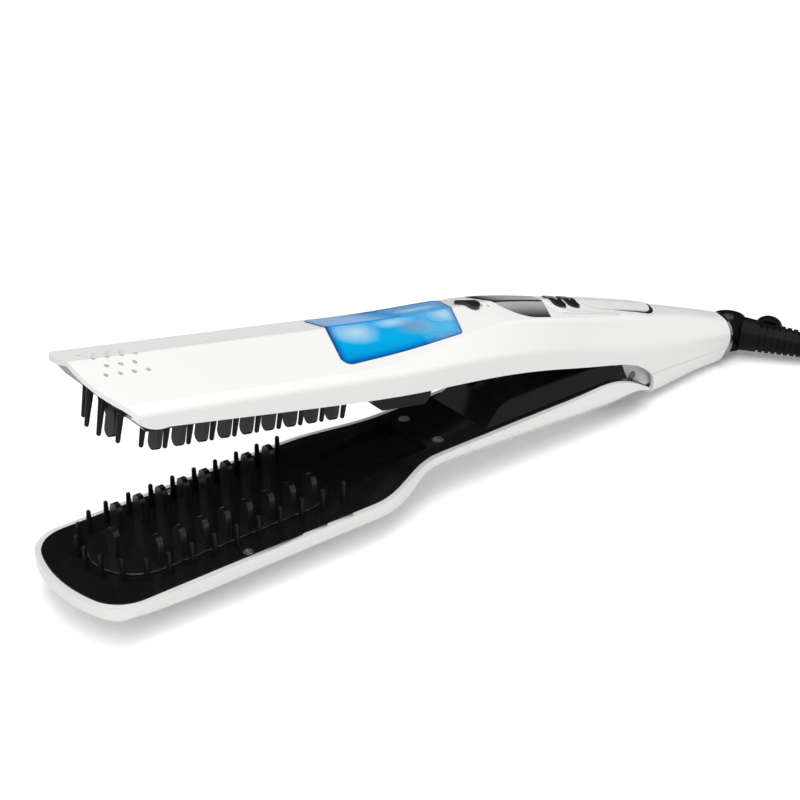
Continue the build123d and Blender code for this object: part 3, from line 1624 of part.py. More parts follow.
# Plug with two round pins
plug_half = 6.9
plug_wide = 13.0
with BuildPart() as plug:
    plug_plane = Plane(origin=(plug_x, tail_y, plug_z), x_dir=(0, 1, 0), z_dir=(1, 0, 0))
    with BuildSketch(plug_plane):
        Circle(cord_r + 1.6)
    with BuildSketch(plug_plane.offset(14)):
        RectangleRounded(15, 10.5, 4)
    with BuildSketch(plug_plane.offset(20)):
        RectangleRounded(2 * plug_wide - 4, 2 * plug_half - 1, 5)
    loft(ruled=True)
    with BuildSketch(plug_plane.offset(20)):
        RectangleRounded(2 * plug_wide - 4, 2 * plug_half - 1, 5)
    extrude(amount=16)
    fillet(plug.edges().group_by(Axis.X)[-1], 2)
    with BuildSketch(plug_plane.offset(28)):
        with Locations((9.3, 0), (-9.3, 0)):
            Circle(2.0)
    extrude(amount=20, mode=Mode.SUBTRACT)
save(plug.part, "plug")

with BuildPart() as plug_pins:
    with BuildSketch(plug_plane.offset(28)):
        with Locations((9.3, 0), (-9.3, 0)):
            Circle(2.0)
    extrude(amount=8 + 19)
    fillet(plug_pins.edges().group_by(Axis.X)[-1], 1.2)
save(plug_pins.part, "plug_pins")

print("hank from x", round(hank_x, 2), "to", round(hank_end_x, 2), "middle y", round(hank_y, 2))
print("lead", [tuple(round(c, 2) for c in p) for p in lead_points])
print("plug at", round(plug_x, 2), round(tail_y, 2), plug_z)
for line in parts_made:
    print(line)
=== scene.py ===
# %% [markdown]
# A steam hair straightener, dressed for the studio. Two arms open like a clip:
# the lower one lies on the table with its black combed plate up, the upper one
# carries the water tank, the display and the keys, and the lead leaves at the
# end of the handle. The engineering model has the shapes already, at real size
# and in metres, so this lesson loads it as a fixed frame, gives every part a
# finish of its own, and adds what a solid model leaves out: the water in the
# tank, the printed marks, a painted shadow in the gap at the rear of the thumb
# key and the loose lead.

# %% Load the frame
import bmesh
import bpy
from math import cos, pi, radians, sin
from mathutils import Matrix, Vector


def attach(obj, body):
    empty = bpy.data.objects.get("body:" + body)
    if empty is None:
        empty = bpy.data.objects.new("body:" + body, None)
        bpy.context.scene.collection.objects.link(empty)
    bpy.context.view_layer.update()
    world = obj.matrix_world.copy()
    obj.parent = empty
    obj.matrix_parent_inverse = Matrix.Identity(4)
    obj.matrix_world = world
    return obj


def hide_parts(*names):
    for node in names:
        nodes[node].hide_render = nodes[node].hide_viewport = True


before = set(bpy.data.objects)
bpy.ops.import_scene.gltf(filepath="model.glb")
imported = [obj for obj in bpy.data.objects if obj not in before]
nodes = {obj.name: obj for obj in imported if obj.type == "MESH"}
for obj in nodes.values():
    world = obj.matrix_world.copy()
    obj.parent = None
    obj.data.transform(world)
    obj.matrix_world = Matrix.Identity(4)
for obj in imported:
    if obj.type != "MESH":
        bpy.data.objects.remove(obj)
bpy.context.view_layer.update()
print("parts in the frame:", len(nodes))

# %% [markdown]
# The photograph was taken from the front left, with a long lens. Its place was
# worked out from straight edges of the arms: the view looks along an azimuth of
# 51.5 degrees and 28.7 degrees down, and one metre at one metre's distance
# covers 1900 pixels of an 800 pixel picture.

# %% Camera
VIEW_AZIMUTH = radians(51.54)
VIEW_DOWN = radians(28.73)
CAMERA_AT = (-0.3168, -0.50465, 0.39199)
FOCAL_MM = 85.48

lens = bpy.data.cameras.new("studio_lens")
lens.lens = FOCAL_MM
lens.sensor_width = 36
lens.clip_start = 0.02
lens.clip_end = 30
camera = bpy.data.objects.new("studio_camera", lens)
bpy.context.scene.collection.objects.link(camera)
camera.location = CAMERA_AT
ahead = Vector((
    cos(VIEW_AZIMUTH) * cos(VIEW_DOWN),
    sin(VIEW_AZIMUTH) * cos(VIEW_DOWN),
    -sin(VIEW_DOWN),
))
camera.rotation_mode = "QUATERNION"
camera.rotation_quaternion = ahead.to_track_quat("-Z", "Y")
bpy.context.scene.camera = camera
bpy.context.scene.view_settings.view_transform = "Standard"
print("camera looks along", [round(a, 3) for a in ahead])

# %% [markdown]
# The lead is 1.78 m of a round rubber cable, 5.6 mm thick. A few centimetres
# show beside the handle, and the rest is folded into a flat hank in two layers,
# held by a band, behind the object. One smooth spline follows both: the first
# points lead out of the strain relief, and a loop lays the turns of the hank.
# Each fold at an end gets four points around its half circle, and each run gets
# two where the band draws it in.

# %% The line of the lead
MM = 0.001
LEAD_THICKNESS = 5.6
HANK_FROM_X = 364.87
HANK_TO_X = 456.87
HANK_Y = -41.17
HANK_OUTER = 30.1
HANK_STEP = 6.35
HANK_DRAW = 7.0
LAYER_LOW = 3.7
LAYER_HIGH = 9.8
WAIST_X = (HANK_FROM_X + HANK_TO_X) / 2

lead_out = [(310.25, -50.24, 4.82), (318.87, -61.27, 3.72), (332.87, -71.27, 3.7), (357.0, -71.27, 3.7)]
lead_in = [(378.0, 23.73, 8.1), (398.87, 23.73, 7.2)]
RETURN_Y = 64.9


def fold(x, outward, y_from, y_to, z_from, z_to):
    """Four points around a half circle at one end of the hank."""
    middle = (y_from + y_to) / 2
    radius = (y_from - y_to) / 2
    reach = abs(radius) / cos(pi / 8)
    points = []
    for k in range(4):
        angle = pi / 8 + k * pi / 4
        share = (k + 0.5) / 4
        height = z_from + (z_to - z_from) * share
        place_x = x + outward * reach * sin(angle)
        place_y = HANK_Y + middle + radius / cos(pi / 8) * cos(angle)
        points.append((place_x, place_y, height))
    return points


def run(outward, side, z_from, z_to):
    """Two points at the waist of a run along the hank."""
    drawn = HANK_Y + side - HANK_DRAW * (1 if side > 0 else -1)
    low = z_from + (z_to - z_from) * 0.35
    high = z_from + (z_to - z_from) * 0.65
    return [(WAIST_X - outward * 13, drawn, low), (WAIST_X + outward * 13, drawn, high)]


def corner(x, outward, radius, side, z):
    """Point on a run just before or after its fold."""
    return (x - outward * 0.414 * abs(radius), HANK_Y + side, z)


offsets = [HANK_OUTER - HANK_STEP * k for k in (0, 1, 2, 2, 1, 0)]
sides = []
for turn, offset in enumerate(offsets[:3]):
    climbs_to = LAYER_HIGH if turn == 2 else LAYER_LOW
    sides += [(-offset, LAYER_LOW, LAYER_LOW), (offset, LAYER_LOW, climbs_to)]
for offset in offsets[4:]:
    sides += [(-offset, LAYER_HIGH, LAYER_HIGH), (offset, LAYER_HIGH, LAYER_HIGH)]
lead_points = list(lead_out)
for k, (side, z_from, z_to) in enumerate(sides):
    outward = 1 if k % 2 == 0 else -1
    end_x = HANK_TO_X if outward > 0 else HANK_FROM_X
    if k:
        start_x = HANK_FROM_X if outward > 0 else HANK_TO_X
        lead_points.append(corner(start_x, -outward, (side - sides[k - 1][0]) / 2, side, z_from))
    lead_points += run(outward, side, z_from, z_to)
    if k + 1 < len(sides):
        lead_points.append(corner(end_x, outward, (side - sides[k + 1][0]) / 2, side, z_to))
        lead_points += fold(end_x, outward, side, sides[k + 1][0], z_to, sides[k + 1][1])
last = sides[-1][0]
lead_points.append(corner(HANK_FROM_X, -1, (RETURN_Y - last) / 2, last, LAYER_HIGH))
lead_points += fold(HANK_FROM_X, -1, last, RETURN_Y, LAYER_HIGH, 8.4)
lead_points += lead_in

line = bpy.data.curves.new("lead_line", "CURVE")
line.dimensions = "3D"
line.bevel_depth = 1.0
line.bevel_resolution = 6
line.resolution_u = 8
line.use_fill_caps = True
spline = line.splines.new("NURBS")
spline.points.add(len(lead_points) - 1)
for point, (x, y, z) in zip(spline.points, lead_points):
    point.co = (x * MM, y * MM, z * MM, 1)
    point.radius = LEAD_THICKNESS / 2 * MM
spline.order_u = 3
spline.use_endpoint_u = True
lead = bpy.data.objects.new("lead", line)
bpy.context.scene.collection.objects.link(lead)
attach(lead, "cord_end")
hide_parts("cord", "cord_hank")
print("points in the line of the lead:", len(lead_points))

# %% [markdown]
# A material is a small tree of nodes, and the lines that add and link each node
# soon hide what the tree does. A few helpers keep it short: one adds a node
# with its inputs linked or set, one does arithmetic, one mixes two colours and
# one turns a value into a ramp of colours.

# %% Nodes made short
def shader_tree(owner):
    owner.use_nodes = True
    tree = owner.node_tree
    tree.nodes.clear()
    return tree


def add(tree, kind, inputs=None, **settings):
    """A node of that kind with its settings, and its inputs linked or set."""
    made = tree.nodes.new(kind)
    for name, value in settings.items():
        setattr(made, name, value)
    for name, value in (inputs or {}).items():
        if isinstance(value, bpy.types.NodeSocket):
            tree.links.new(value, made.inputs[name])
        else:
            made.inputs[name].default_value = value
    return made


def math(tree, operation, a, b=0.0, c=0.0, clamp=False):
    made = add(tree, "ShaderNodeMath", {0: a, 1: b, 2: c}, operation=operation, use_clamp=clamp)
    return made.outputs[0]


def mixed(tree, factor, a, b, blend="MIX"):
    """Colour a to colour b by factor."""
    made = add(tree, "ShaderNodeMix", {0: factor, 6: a, 7: b}, data_type="RGBA", blend_type=blend)
    return made.outputs[2]


def ramp(tree, value, *stops):
    made = add(tree, "ShaderNodeValToRGB", {0: value})
    row = made.color_ramp.elements
    while len(row) < len(stops):
        row.new(0.5)
    for stop, (place, colour) in zip(row, stops):
        stop.position = place
        stop.color = colour if hasattr(colour, "__len__") else (colour, colour, colour, 1)
    return made.outputs[0]


# %% [markdown]
# The studio is a white table and a white surround with two soft lamps: a wide
# one overhead and a key from the front left. What the camera sees behind the
# object is pure white, and far from the lamps the table glows a little for the
# camera only, so it stays white while it still takes the soft shadow under the
# arms. Cards stand and lie behind the set, black and grey, as photographers place
# them: only reflections see them, and they keep the gloss black deep and the
# colour of the far slopes full.

# %% Studio
world = bpy.data.worlds.new("studio_surround")
bpy.context.scene.world = world
tree = shader_tree(world)
path = add(tree, "ShaderNodeLightPath")
seen = math(tree, "MAXIMUM", path.outputs["Is Camera Ray"], path.outputs["Is Transmission Ray"])
seen = math(tree, "MAXIMUM", seen, path.outputs["Is Glossy Ray"])
level = math(tree, "MULTIPLY_ADD", seen, 0.55, 0.45)
surround = add(tree, "ShaderNodeBackground", {"Color": (1, 1, 1, 1), "Strength": level})
add(tree, "ShaderNodeOutputWorld", {"Surface": surround.outputs[0]})

table_mesh = bpy.data.meshes.new("table_top")
table_mesh.from_pydata([(-4, -4, 0), (4, -4, 0), (4, 4, 0), (-4, 4, 0)], [], [(0, 1, 2, 3)])
table_top = bpy.data.objects.new("table_top", table_mesh)
bpy.context.scene.collection.objects.link(table_top)
table_top.location = (0, 0, -0.0004)
paper = bpy.data.materials.new("table_paper")
tree = shader_tree(paper)
place = add(tree, "ShaderNodeTexCoord")
on_table = place.outputs["Object"]
fibre = add(tree, "ShaderNodeTexNoise", {"Vector": on_table, "Scale": 60.0, "Detail": 3.0})
tone = mixed(tree, fibre.outputs[0], (0.93, 0.93, 0.93, 1), (0.95, 0.95, 0.95, 1))
path = add(tree, "ShaderNodeLightPath")
far_off = add(tree, "ShaderNodeVectorMath", {0: on_table}, operation="LENGTH").outputs["Value"]
far_off = ramp(tree, math(tree, "MULTIPLY", far_off, 0.25), (0.12, 0.16), (0.5, 0.62))
glow = math(tree, "MULTIPLY", path.outputs["Is Camera Ray"], far_off)
body = add(tree, "ShaderNodeBsdfPrincipled", {
    "Base Color": tone, "Roughness": 0.7, "Specular IOR Level": 0.0,
    "Emission Color": (1, 1, 1, 1), "Emission Strength": glow,
})
add(tree, "ShaderNodeOutputMaterial", {"Surface": body.outputs[0]})
table_mesh.materials.append(paper)


def lamp(name, at, towards, size, power):
    light = bpy.data.lights.new(name, "AREA")
    light.shape = "RECTANGLE"
    light.size, light.size_y = size
    light.energy = power
    holder = bpy.data.objects.new(name, light)
    bpy.context.scene.collection.objects.link(holder)
    holder.location = at
    aim = Vector(towards) - Vector(at)
    holder.rotation_mode = "QUATERNION"
    holder.rotation_quaternion = aim.to_track_quat("-Z", "Y")
    return holder


lamp("overhead", (0.1, -0.1, 1.4), (0.1, 0, 0), (1.4, 1.0), 11.5)
lamp("key", (-0.7, -0.8, 1.5), (0.05, 0, 0.03), (0.8, 0.8), 11)


def card_paper(name, shade_from, shade_to):
    """Matt card that runs from one shade to another along the set."""
    made = bpy.data.materials.new(name)
    tree = shader_tree(made)
    place = add(tree, "ShaderNodeTexCoord").outputs["Object"]
    along = add(tree, "ShaderNodeSeparateXYZ", {0: place}).outputs["X"]
    pile = add(tree, "ShaderNodeTexNoise", {"Vector": place, "Scale": 300.0})
    along = math(tree, "MULTIPLY_ADD", pile.outputs[0], 0.01, along)
    nap = ramp(tree, along, (0.31, shade_from), (0.43, shade_to))
    cloth = add(tree, "ShaderNodeBsdfPrincipled", {
        "Base Color": nap, "Roughness": 0.95, "Specular IOR Level": 0.05,
    })
    add(tree, "ShaderNodeOutputMaterial", {"Surface": cloth.outputs[0]})
    return made


def mirror_card(name, material, at, turned, edges):
    """A sheet that only reflections see."""
    mesh = bpy.data.meshes.new(name)
    mesh.from_pydata(edges, [], [(0, 1, 2, 3)])
    mesh.materials.append(material)
    card = bpy.data.objects.new(name, mesh)
    bpy.context.scene.collection.objects.link(card)
    card.location = at
    card.rotation_euler = (0, 0, turned)
    card.visible_camera = False
    card.visible_diffuse = False
    card.visible_shadow = False
    card.visible_transmission = False


velvet = card_paper("card_velvet", 0.005, 0.005)
fading = card_paper("card_grey_to_black", 0.6, 0.005)
ABOVE_TABLE = 0.001
mirror_card(
    "card_upright", velvet, (0.85, 1.05, ABOVE_TABLE), -radians(38),
    [(-1.6, 0, 0), (1.6, 0, 0), (1.6, 0, 1.4), (-1.6, 0, 1.4)],
)
mirror_card(
    "card_flat", fading, (0.0, 0.0, ABOVE_TABLE), 0.0,
    [(-0.9, 0.08, 0), (2.4, 0.08, 0), (2.4, 1.6, 0), (-0.9, 1.6, 0)],
)

# %% [markdown]
# Four effects turn up on almost every part. Moulded plastic is never quite
# flat: it has a faint waviness and a fine grain. Hands leave soft smudges that
# show in the gloss. Edges lose a little colour where they rub, and dust settles
# in small specks on what faces up. Each effect is one node group with its own
# inputs, so a material only says how much of it it has. A fifth group tells a
# material where it is on the upper arm, in millimetres from the hinge: along
# the arm and across it. The tank, the display and the marks use that.

# %% Shared effects
def effect(name, inputs, outputs):
    """An empty node group with value inputs and outputs."""
    group = bpy.data.node_groups.new(name, "ShaderNodeTree")
    for label, default in inputs:
        made = group.interface.new_socket(name=label, in_out="INPUT", socket_type="NodeSocketFloat")
        made.default_value = default
    for label in outputs:
        group.interface.new_socket(name=label, in_out="OUTPUT", socket_type="NodeSocketFloat")
    return group, add(group, "NodeGroupInput"), add(group, "NodeGroupOutput")


def noise(tree, scale, detail=2.0, stretch=None):
    place = add(tree, "ShaderNodeTexCoord").outputs["Object"]
    if stretch:
        place = add(tree, "ShaderNodeMapping", {"Vector": place, "Scale": stretch}).outputs[0]
    made = add(tree, "ShaderNodeTexNoise", {"Vector": place, "Scale": scale, "Detail": detail})
    return made.outputs[0]


moulding, inlet, outlet = effect("moulding_grain", [("Scale", 900.0), ("Waviness", 0.4)], ["Height"])
fine = noise(moulding, inlet.outputs["Scale"], 3.0)
wavy = noise(moulding, 55.0, 1.0)
fine_share = math(moulding, "MULTIPLY", fine, 0.25)
height = math(moulding, "MULTIPLY_ADD", wavy, inlet.outputs["Waviness"], fine_share)
moulding.links.new(height, outlet.inputs["Height"])

smudges, inlet, outlet = effect("hand_smudges", [("Scale", 45.0), ("Amount", 0.3)], ["Mask"])
broad = noise(smudges, inlet.outputs["Scale"], 4.0)
streaks = noise(smudges, 140.0, 3.0, (1, 0.25, 1))
patch = ramp(smudges, broad, (0.46, 0), (0.66, 1))
streak = ramp(smudges, streaks, (0.4, 0.25), (0.7, 1))
mask = math(smudges, "MULTIPLY", patch, streak)
smudges.links.new(math(smudges, "MULTIPLY", mask, inlet.outputs["Amount"]), outlet.inputs["Mask"])

edge_wear, inlet, outlet = effect("edge_wear", [("Amount", 0.5)], ["Mask"])
shape = add(edge_wear, "ShaderNodeNewGeometry")
rounded = add(edge_wear, "ShaderNodeBevel", {"Radius": 0.0007}, samples=4)
facing = add(
    edge_wear, "ShaderNodeVectorMath", {0: rounded.outputs[0], 1: shape.outputs["Normal"]},
    operation="DOT_PRODUCT",
)
edge = ramp(edge_wear, facing.outputs["Value"], (0.80, 1), (0.97, 0))
broken = ramp(edge_wear, noise(edge_wear, 420.0, 3.0), (0.42, 0), (0.6, 1))
mask = math(edge_wear, "MULTIPLY", edge, broken)
edge_wear.links.new(math(edge_wear, "MULTIPLY", mask, inlet.outputs["Amount"]), outlet.inputs["Mask"])

dust, inlet, outlet = effect("settled_dust", [("Amount", 0.3), ("Scale", 1500.0)], ["Mask"])
place = add(dust, "ShaderNodeTexCoord")
upward = add(dust, "ShaderNodeSeparateXYZ", {0: place.outputs["Normal"]}).outputs["Z"]
upward = ramp(dust, upward, (0.5, 0), (0.95, 1))
specks = add(dust, "ShaderNodeTexVoronoi", {
    "Vector": place.outputs["Object"], "Scale": inlet.outputs["Scale"],
})
speck = ramp(dust, specks.outputs["Distance"], (0.05, 1), (0.16, 0))
clumps = ramp(dust, noise(dust, 160.0), (0.5, 0), (0.72, 1))
mask = math(dust, "MULTIPLY", math(dust, "MULTIPLY", speck, clumps), upward)
dust.links.new(math(dust, "MULTIPLY", mask, inlet.outputs["Amount"]), outlet.inputs["Mask"])

arm_place, inlet, outlet = effect("arm_place", [], ["U", "Y"])
OPEN = radians(10.9)
HINGE_X = 200.0
HINGE_Z = 15.8
place = add(arm_place, "ShaderNodeTexCoord").outputs["Object"]
place = add(arm_place, "ShaderNodeSeparateXYZ", {0: place})
from_hinge = math(arm_place, "MULTIPLY_ADD", place.outputs["X"], 1000.0, -HINGE_X)
over_hinge = math(arm_place, "MULTIPLY_ADD", place.outputs["Z"], 1000.0, -HINGE_Z)
level_share = math(arm_place, "MULTIPLY", from_hinge, cos(OPEN))
along = math(arm_place, "MULTIPLY_ADD", over_hinge, -sin(OPEN), level_share)
arm_place.links.new(along, outlet.inputs["U"])
arm_place.links.new(math(arm_place, "MULTIPLY", place.outputs["Y"], 1000.0), outlet.inputs["Y"])
print("effects:", [g.name for g in bpy.data.node_groups])


def use(tree, group, **inputs):
    """Puts a shared effect in a material and returns its first output."""
    made = tree.nodes.new("ShaderNodeGroup")
    made.node_tree = group
    for name, value in inputs.items():
        made.inputs[name].default_value = value
    return made.outputs[0]


# %% [markdown]
# Most finishes are one recipe with other numbers: two close shades of the base
# colour, the roughness of a polished or a sanded mould, a grain depth, and how
# much wear, smudge and dust the part picks up. The recipe returns the tree, so
# that the special parts can go on from it.

# %% A finish from the common recipe
def finish_of(name, shade, other, roughness, grain=900.0, depth=0.02, waviness=0.3,
              smudge=0.3, worn=0.0, worn_to=None, dusty=0.2, **sockets):
    material = bpy.data.materials.new(name)
    tree = shader_tree(material)
    base = mixed(tree, noise(tree, 38.0, 3.0), (*shade, 1), (*other, 1))
    marks = use(tree, smudges, Amount=smudge)
    if worn:
        base = mixed(tree, use(tree, edge_wear, Amount=worn), base, (*(worn_to or other), 1))
    specks = use(tree, dust, Amount=dusty)
    base = mixed(tree, specks, base, (0.55, 0.54, 0.52, 1))
    rough = math(tree, "MULTIPLY_ADD", marks, 0.35, roughness)
    rough = math(tree, "MULTIPLY_ADD", specks, 0.5, rough, clamp=True)
    relief = use(tree, moulding, Scale=grain, Waviness=waviness)
    bump = add(tree, "ShaderNodeBump", {"Height": relief, "Strength": 0.35, "Distance": depth * MM})
    shader = add(tree, "ShaderNodeBsdfPrincipled", {
        "Base Color": base, "Roughness": rough, "Normal": bump.outputs[0], **sockets,
    })
    add(tree, "ShaderNodeOutputMaterial", {"Surface": shader.outputs[0]})
    return material


def dress(material, *names):
    """Gives CAD parts a finish, in every slot that they have."""
    for name in names:
        part = nodes[name]
        if not part.data.materials:
            part.data.materials.append(material)
        for slot in part.material_slots:
            slot.material = material
        dressed.add(name)


dressed = set()

# %% [markdown]
# The shells are gloss white ABS from a polished mould. Real white plastic is a
# little warm and not brighter than 85 percent, so it keeps its shading, and a
# thin clear coat gives the crisp highlight on the shoulder of the handle.

# %% White shells
white = finish_of(
    "white_abs", (0.83, 0.825, 0.815), (0.80, 0.795, 0.785), 0.20, depth=0.012, smudge=0.18,
    worn=0.15, worn_to=(0.70, 0.69, 0.67), dusty=0.12,
    **{"Coat Weight": 0.12, "Coat Roughness": 0.06, "Specular IOR Level": 0.35, "IOR": 1.5},
)
dress(white, "upper_shell", "lower_shell", "handle_cover", "thumb_plate")
print("white parts:", sorted(dressed))

# %% [markdown]
# The roof carries a little print: a ring and a bar beside the slide switch and a
# thin line along the control field. A dark crescent of painted shadow lies in the
# gap at the rear of the thumb plate. The keys have their plus and minus sign. All
# of it follows the place on the arm, so nothing has to be unwrapped.

# %% Printed marks and a painted shadow
def place_on_arm(tree):
    """Sockets with the place along and across the upper arm."""
    made = tree.nodes.new("ShaderNodeGroup")
    made.node_tree = arm_place
    return made.outputs["U"], made.outputs["Y"]


def away_from(tree, value, middle):
    return math(tree, "ABSOLUTE", math(tree, "ADD", value, -middle))


def length_of(tree, a, b):
    """Length of a flat step with the parts a and b."""
    squares = math(tree, "ADD", math(tree, "MULTIPLY", a, a), math(tree, "MULTIPLY", b, b))
    return math(tree, "SQRT", squares)


def bar(tree, u, y, long, wide):
    """One inside a small bar, nought around it."""
    U, Y = place_on_arm(tree)
    inside_u = math(tree, "LESS_THAN", away_from(tree, U, u), long / 2)
    inside_y = math(tree, "LESS_THAN", away_from(tree, Y, y), wide / 2)
    return math(tree, "MULTIPLY", inside_u, inside_y)


def over_mark(material, mask, colour):
    """Lays that colour over the base of a material: the print, and the painted shadow at the thumb plate."""
    tree = material.node_tree
    shader = next(n for n in tree.nodes if n.type == "BSDF_PRINCIPLED")
    below = shader.inputs["Base Color"].links[0].from_socket
    tree.links.new(mixed(tree, mask, below, (*colour, 1)), shader.inputs["Base Color"])


print_and_shadow = white.copy()
print_and_shadow.name = "white_abs_print_and_shadow"
tree = print_and_shadow.node_tree
U, Y = place_on_arm(tree)
# Painted shadow: a dark crescent in the gap at the rear of the thumb plate, wider towards the rear.
past_end = math(tree, "MAXIMUM", math(tree, "ADD", U, -4.5), 0.0)
from_plate = math(tree, "ADD", length_of(tree, past_end, Y), -7.2)
reach = math(tree, "MULTIPLY_ADD", U, 1.5 / 26.0, 1.0)
plate_gap_shadow = math(tree, "LESS_THAN", from_plate, reach)
plate_gap_shadow = math(tree, "MULTIPLY", plate_gap_shadow, math(tree, "GREATER_THAN", from_plate, -1.0))
plate_gap_shadow = math(tree, "MULTIPLY", plate_gap_shadow, math(tree, "GREATER_THAN", U, -14.0))
ring_u = math(tree, "ADD", U, 85.6)
ring_y = math(tree, "ADD", Y, 1.4)
ring_mark = math(tree, "LESS_THAN", away_from(tree, length_of(tree, ring_u, ring_y), 0.65), 0.22)
field_line = bar(tree, -30.0, -9.6, 34.0, 0.35)
print_mask = math(tree, "MAXIMUM", ring_mark, bar(tree, -82.6, -2.6, 0.5, 1.5))
print_mask = math(tree, "MAXIMUM", print_mask, math(tree, "MULTIPLY", field_line, 0.6))
over_mark(print_and_shadow, print_mask, (0.12, 0.12, 0.13))
over_mark(print_and_shadow, plate_gap_shadow, (0.02, 0.02, 0.022))
dress(print_and_shadow, "upper_shell")

# %% [markdown]
# The combed plates are gloss black, moulded in heat-proof nylon. The heated
# combs between them are aluminium with a baked ceramic coat: a dark grey with
# a fine sparkle, a touch softer in its gloss than the plate around it.

# %% Black plates and heated combs
black = finish_of(
    "black_gloss_nylon", (0.006, 0.006, 0.007), (0.009, 0.009, 0.010), 0.14, depth=0.01, smudge=0.35,
    worn=0.35, worn_to=(0.05, 0.05, 0.05), dusty=0.25,
    **{"Specular IOR Level": 0.18, "IOR": 1.4},
)
ceramic = finish_of(
    "ceramic_coat", (0.006, 0.006, 0.007), (0.010, 0.010, 0.011), 0.20, grain=2600.0, depth=0.02,
    waviness=0.1, smudge=0.25, worn=0.35, worn_to=(0.05, 0.05, 0.055), dusty=0.12,
    **{"Specular IOR Level": 0.3},
)
dress(black, "lower_cover", "upper_comb_plate", "pump_block")
dress(ceramic, "lower_heating_comb", "upper_heating_comb")

# %% [markdown]
# Inside and at the joint there are cast and stamped metals, mica, rubber and a
# circuit board. They show only between the arms or when a part is taken off,
# and they still get their own finish.

# %% Metal, rubber and inner parts
steel = finish_of(
    "turned_steel", (0.62, 0.62, 0.63), (0.52, 0.52, 0.54), 0.28, grain=1800.0, depth=0.02,
    smudge=0.3, worn=0.4, worn_to=(0.8, 0.8, 0.8), dusty=0.1, Metallic=1.0,
)
dark_steel = finish_of(
    "blackened_steel", (0.10, 0.10, 0.11), (0.14, 0.14, 0.15), 0.38, grain=1400.0, depth=0.03,
    smudge=0.3, worn=0.6, worn_to=(0.4, 0.4, 0.41), dusty=0.2, Metallic=0.9,
)
chrome = finish_of(
    "dark_chrome", (0.30, 0.30, 0.31), (0.24, 0.24, 0.25), 0.12, depth=0.008, smudge=0.3,
    worn=0.3, worn_to=(0.6, 0.6, 0.6), dusty=0.1, Metallic=1.0,
)
brass = finish_of(
    "pin_brass", (0.74, 0.57, 0.26), (0.64, 0.48, 0.22), 0.25, grain=1600.0, depth=0.015,
    smudge=0.4, worn=0.4, worn_to=(0.85, 0.72, 0.42), dusty=0.1, Metallic=1.0,
)
aluminium = finish_of(
    "cast_aluminium", (0.56, 0.56, 0.58), (0.48, 0.48, 0.50), 0.42, grain=1200.0, depth=0.05,
    smudge=0.2, dusty=0.2, Metallic=1.0,
)
rubber = finish_of(
    "cable_rubber", (0.004, 0.004, 0.005), (0.007, 0.007, 0.008), 0.30, grain=2200.0, depth=0.03,
    smudge=0.3, worn=0.1, worn_to=(0.02, 0.02, 0.02), dusty=0.06,
    **{"Specular IOR Level": 0.06},
)
band_rubber = finish_of(
    "band_silicone", (0.035, 0.035, 0.036), (0.050, 0.050, 0.052), 0.55, grain=1500.0, depth=0.04,
    smudge=0.2, dusty=0.5,
)
plug_rubber = finish_of(
    "plug_vinyl", (0.020, 0.020, 0.021), (0.030, 0.030, 0.031), 0.45, grain=1100.0, depth=0.05,
    smudge=0.3, worn=0.4, worn_to=(0.09, 0.09, 0.09), dusty=0.4,
)
mica = finish_of(
    "mica_sheet", (0.50, 0.44, 0.33), (0.36, 0.31, 0.23), 0.35, grain=500.0, depth=0.06,
    smudge=0.2, dusty=0.3,
)
inner_grey = finish_of(
    "inner_grey_nylon", (0.060, 0.060, 0.064), (0.080, 0.080, 0.084), 0.5, grain=700.0, depth=0.05,
    smudge=0.2, dusty=0.3,
)
cheek_grey = finish_of(
    "cheek_light_grey", (0.78, 0.78, 0.79), (0.70, 0.70, 0.71), 0.35, grain=900.0, depth=0.03,
    smudge=0.2, worn=0.2, worn_to=(0.55, 0.55, 0.55), dusty=0.2,
)
seal = finish_of(
    "seal_silicone", (0.10, 0.09, 0.10), (0.14, 0.12, 0.13), 0.5, grain=900.0, depth=0.03, smudge=0.2,
)
key_black = finish_of(
    "key_gloss_black", (0.012, 0.012, 0.013), (0.020, 0.020, 0.021), 0.18, depth=0.01, smudge=0.4,
    worn=0.4, worn_to=(0.08, 0.08, 0.08), dusty=0.2,
)


def arm_middle(name):
    """Middle of a part along and across the upper arm, in millimetres."""
    part = nodes[name]
    box = [part.matrix_world @ Vector(c) for c in part.bound_box]
    middle = sum(box, Vector()) / 8
    along = (middle.x / MM - HINGE_X) * cos(OPEN) - (middle.z / MM - HINGE_Z) * sin(OPEN)
    return along, middle.y / MM


for name, upright_too in (("plus_button", True), ("minus_button", False)):
    key = key_black.copy()
    key.name = name + "_printed"
    u, y = arm_middle(name)
    sign = bar(key.node_tree, u, y, 0.5, 2.4)
    if upright_too:
        sign = math(key.node_tree, "MAXIMUM", sign, bar(key.node_tree, u, y, 2.4, 0.5))
    over_mark(key, sign, (0.7, 0.7, 0.7))
    dress(key, name)
print("finishes so far:", len(bpy.data.materials))

# %% [markdown]
# The tank is cast in a clear blue plastic. Its colour follows the place on the
# arm, and light and shade are painted into it: bright blue on the near slope,
# painted shade towards the near edge, along the rim, in a grey patch on the near
# slope and in a deeper patch beyond the ridge, and painted highlights as pale
# patches under the roof and a pale streak beyond the ridge. The rear end has the
# folds where the wall was drawn in the mould, with a painted highlight along them.

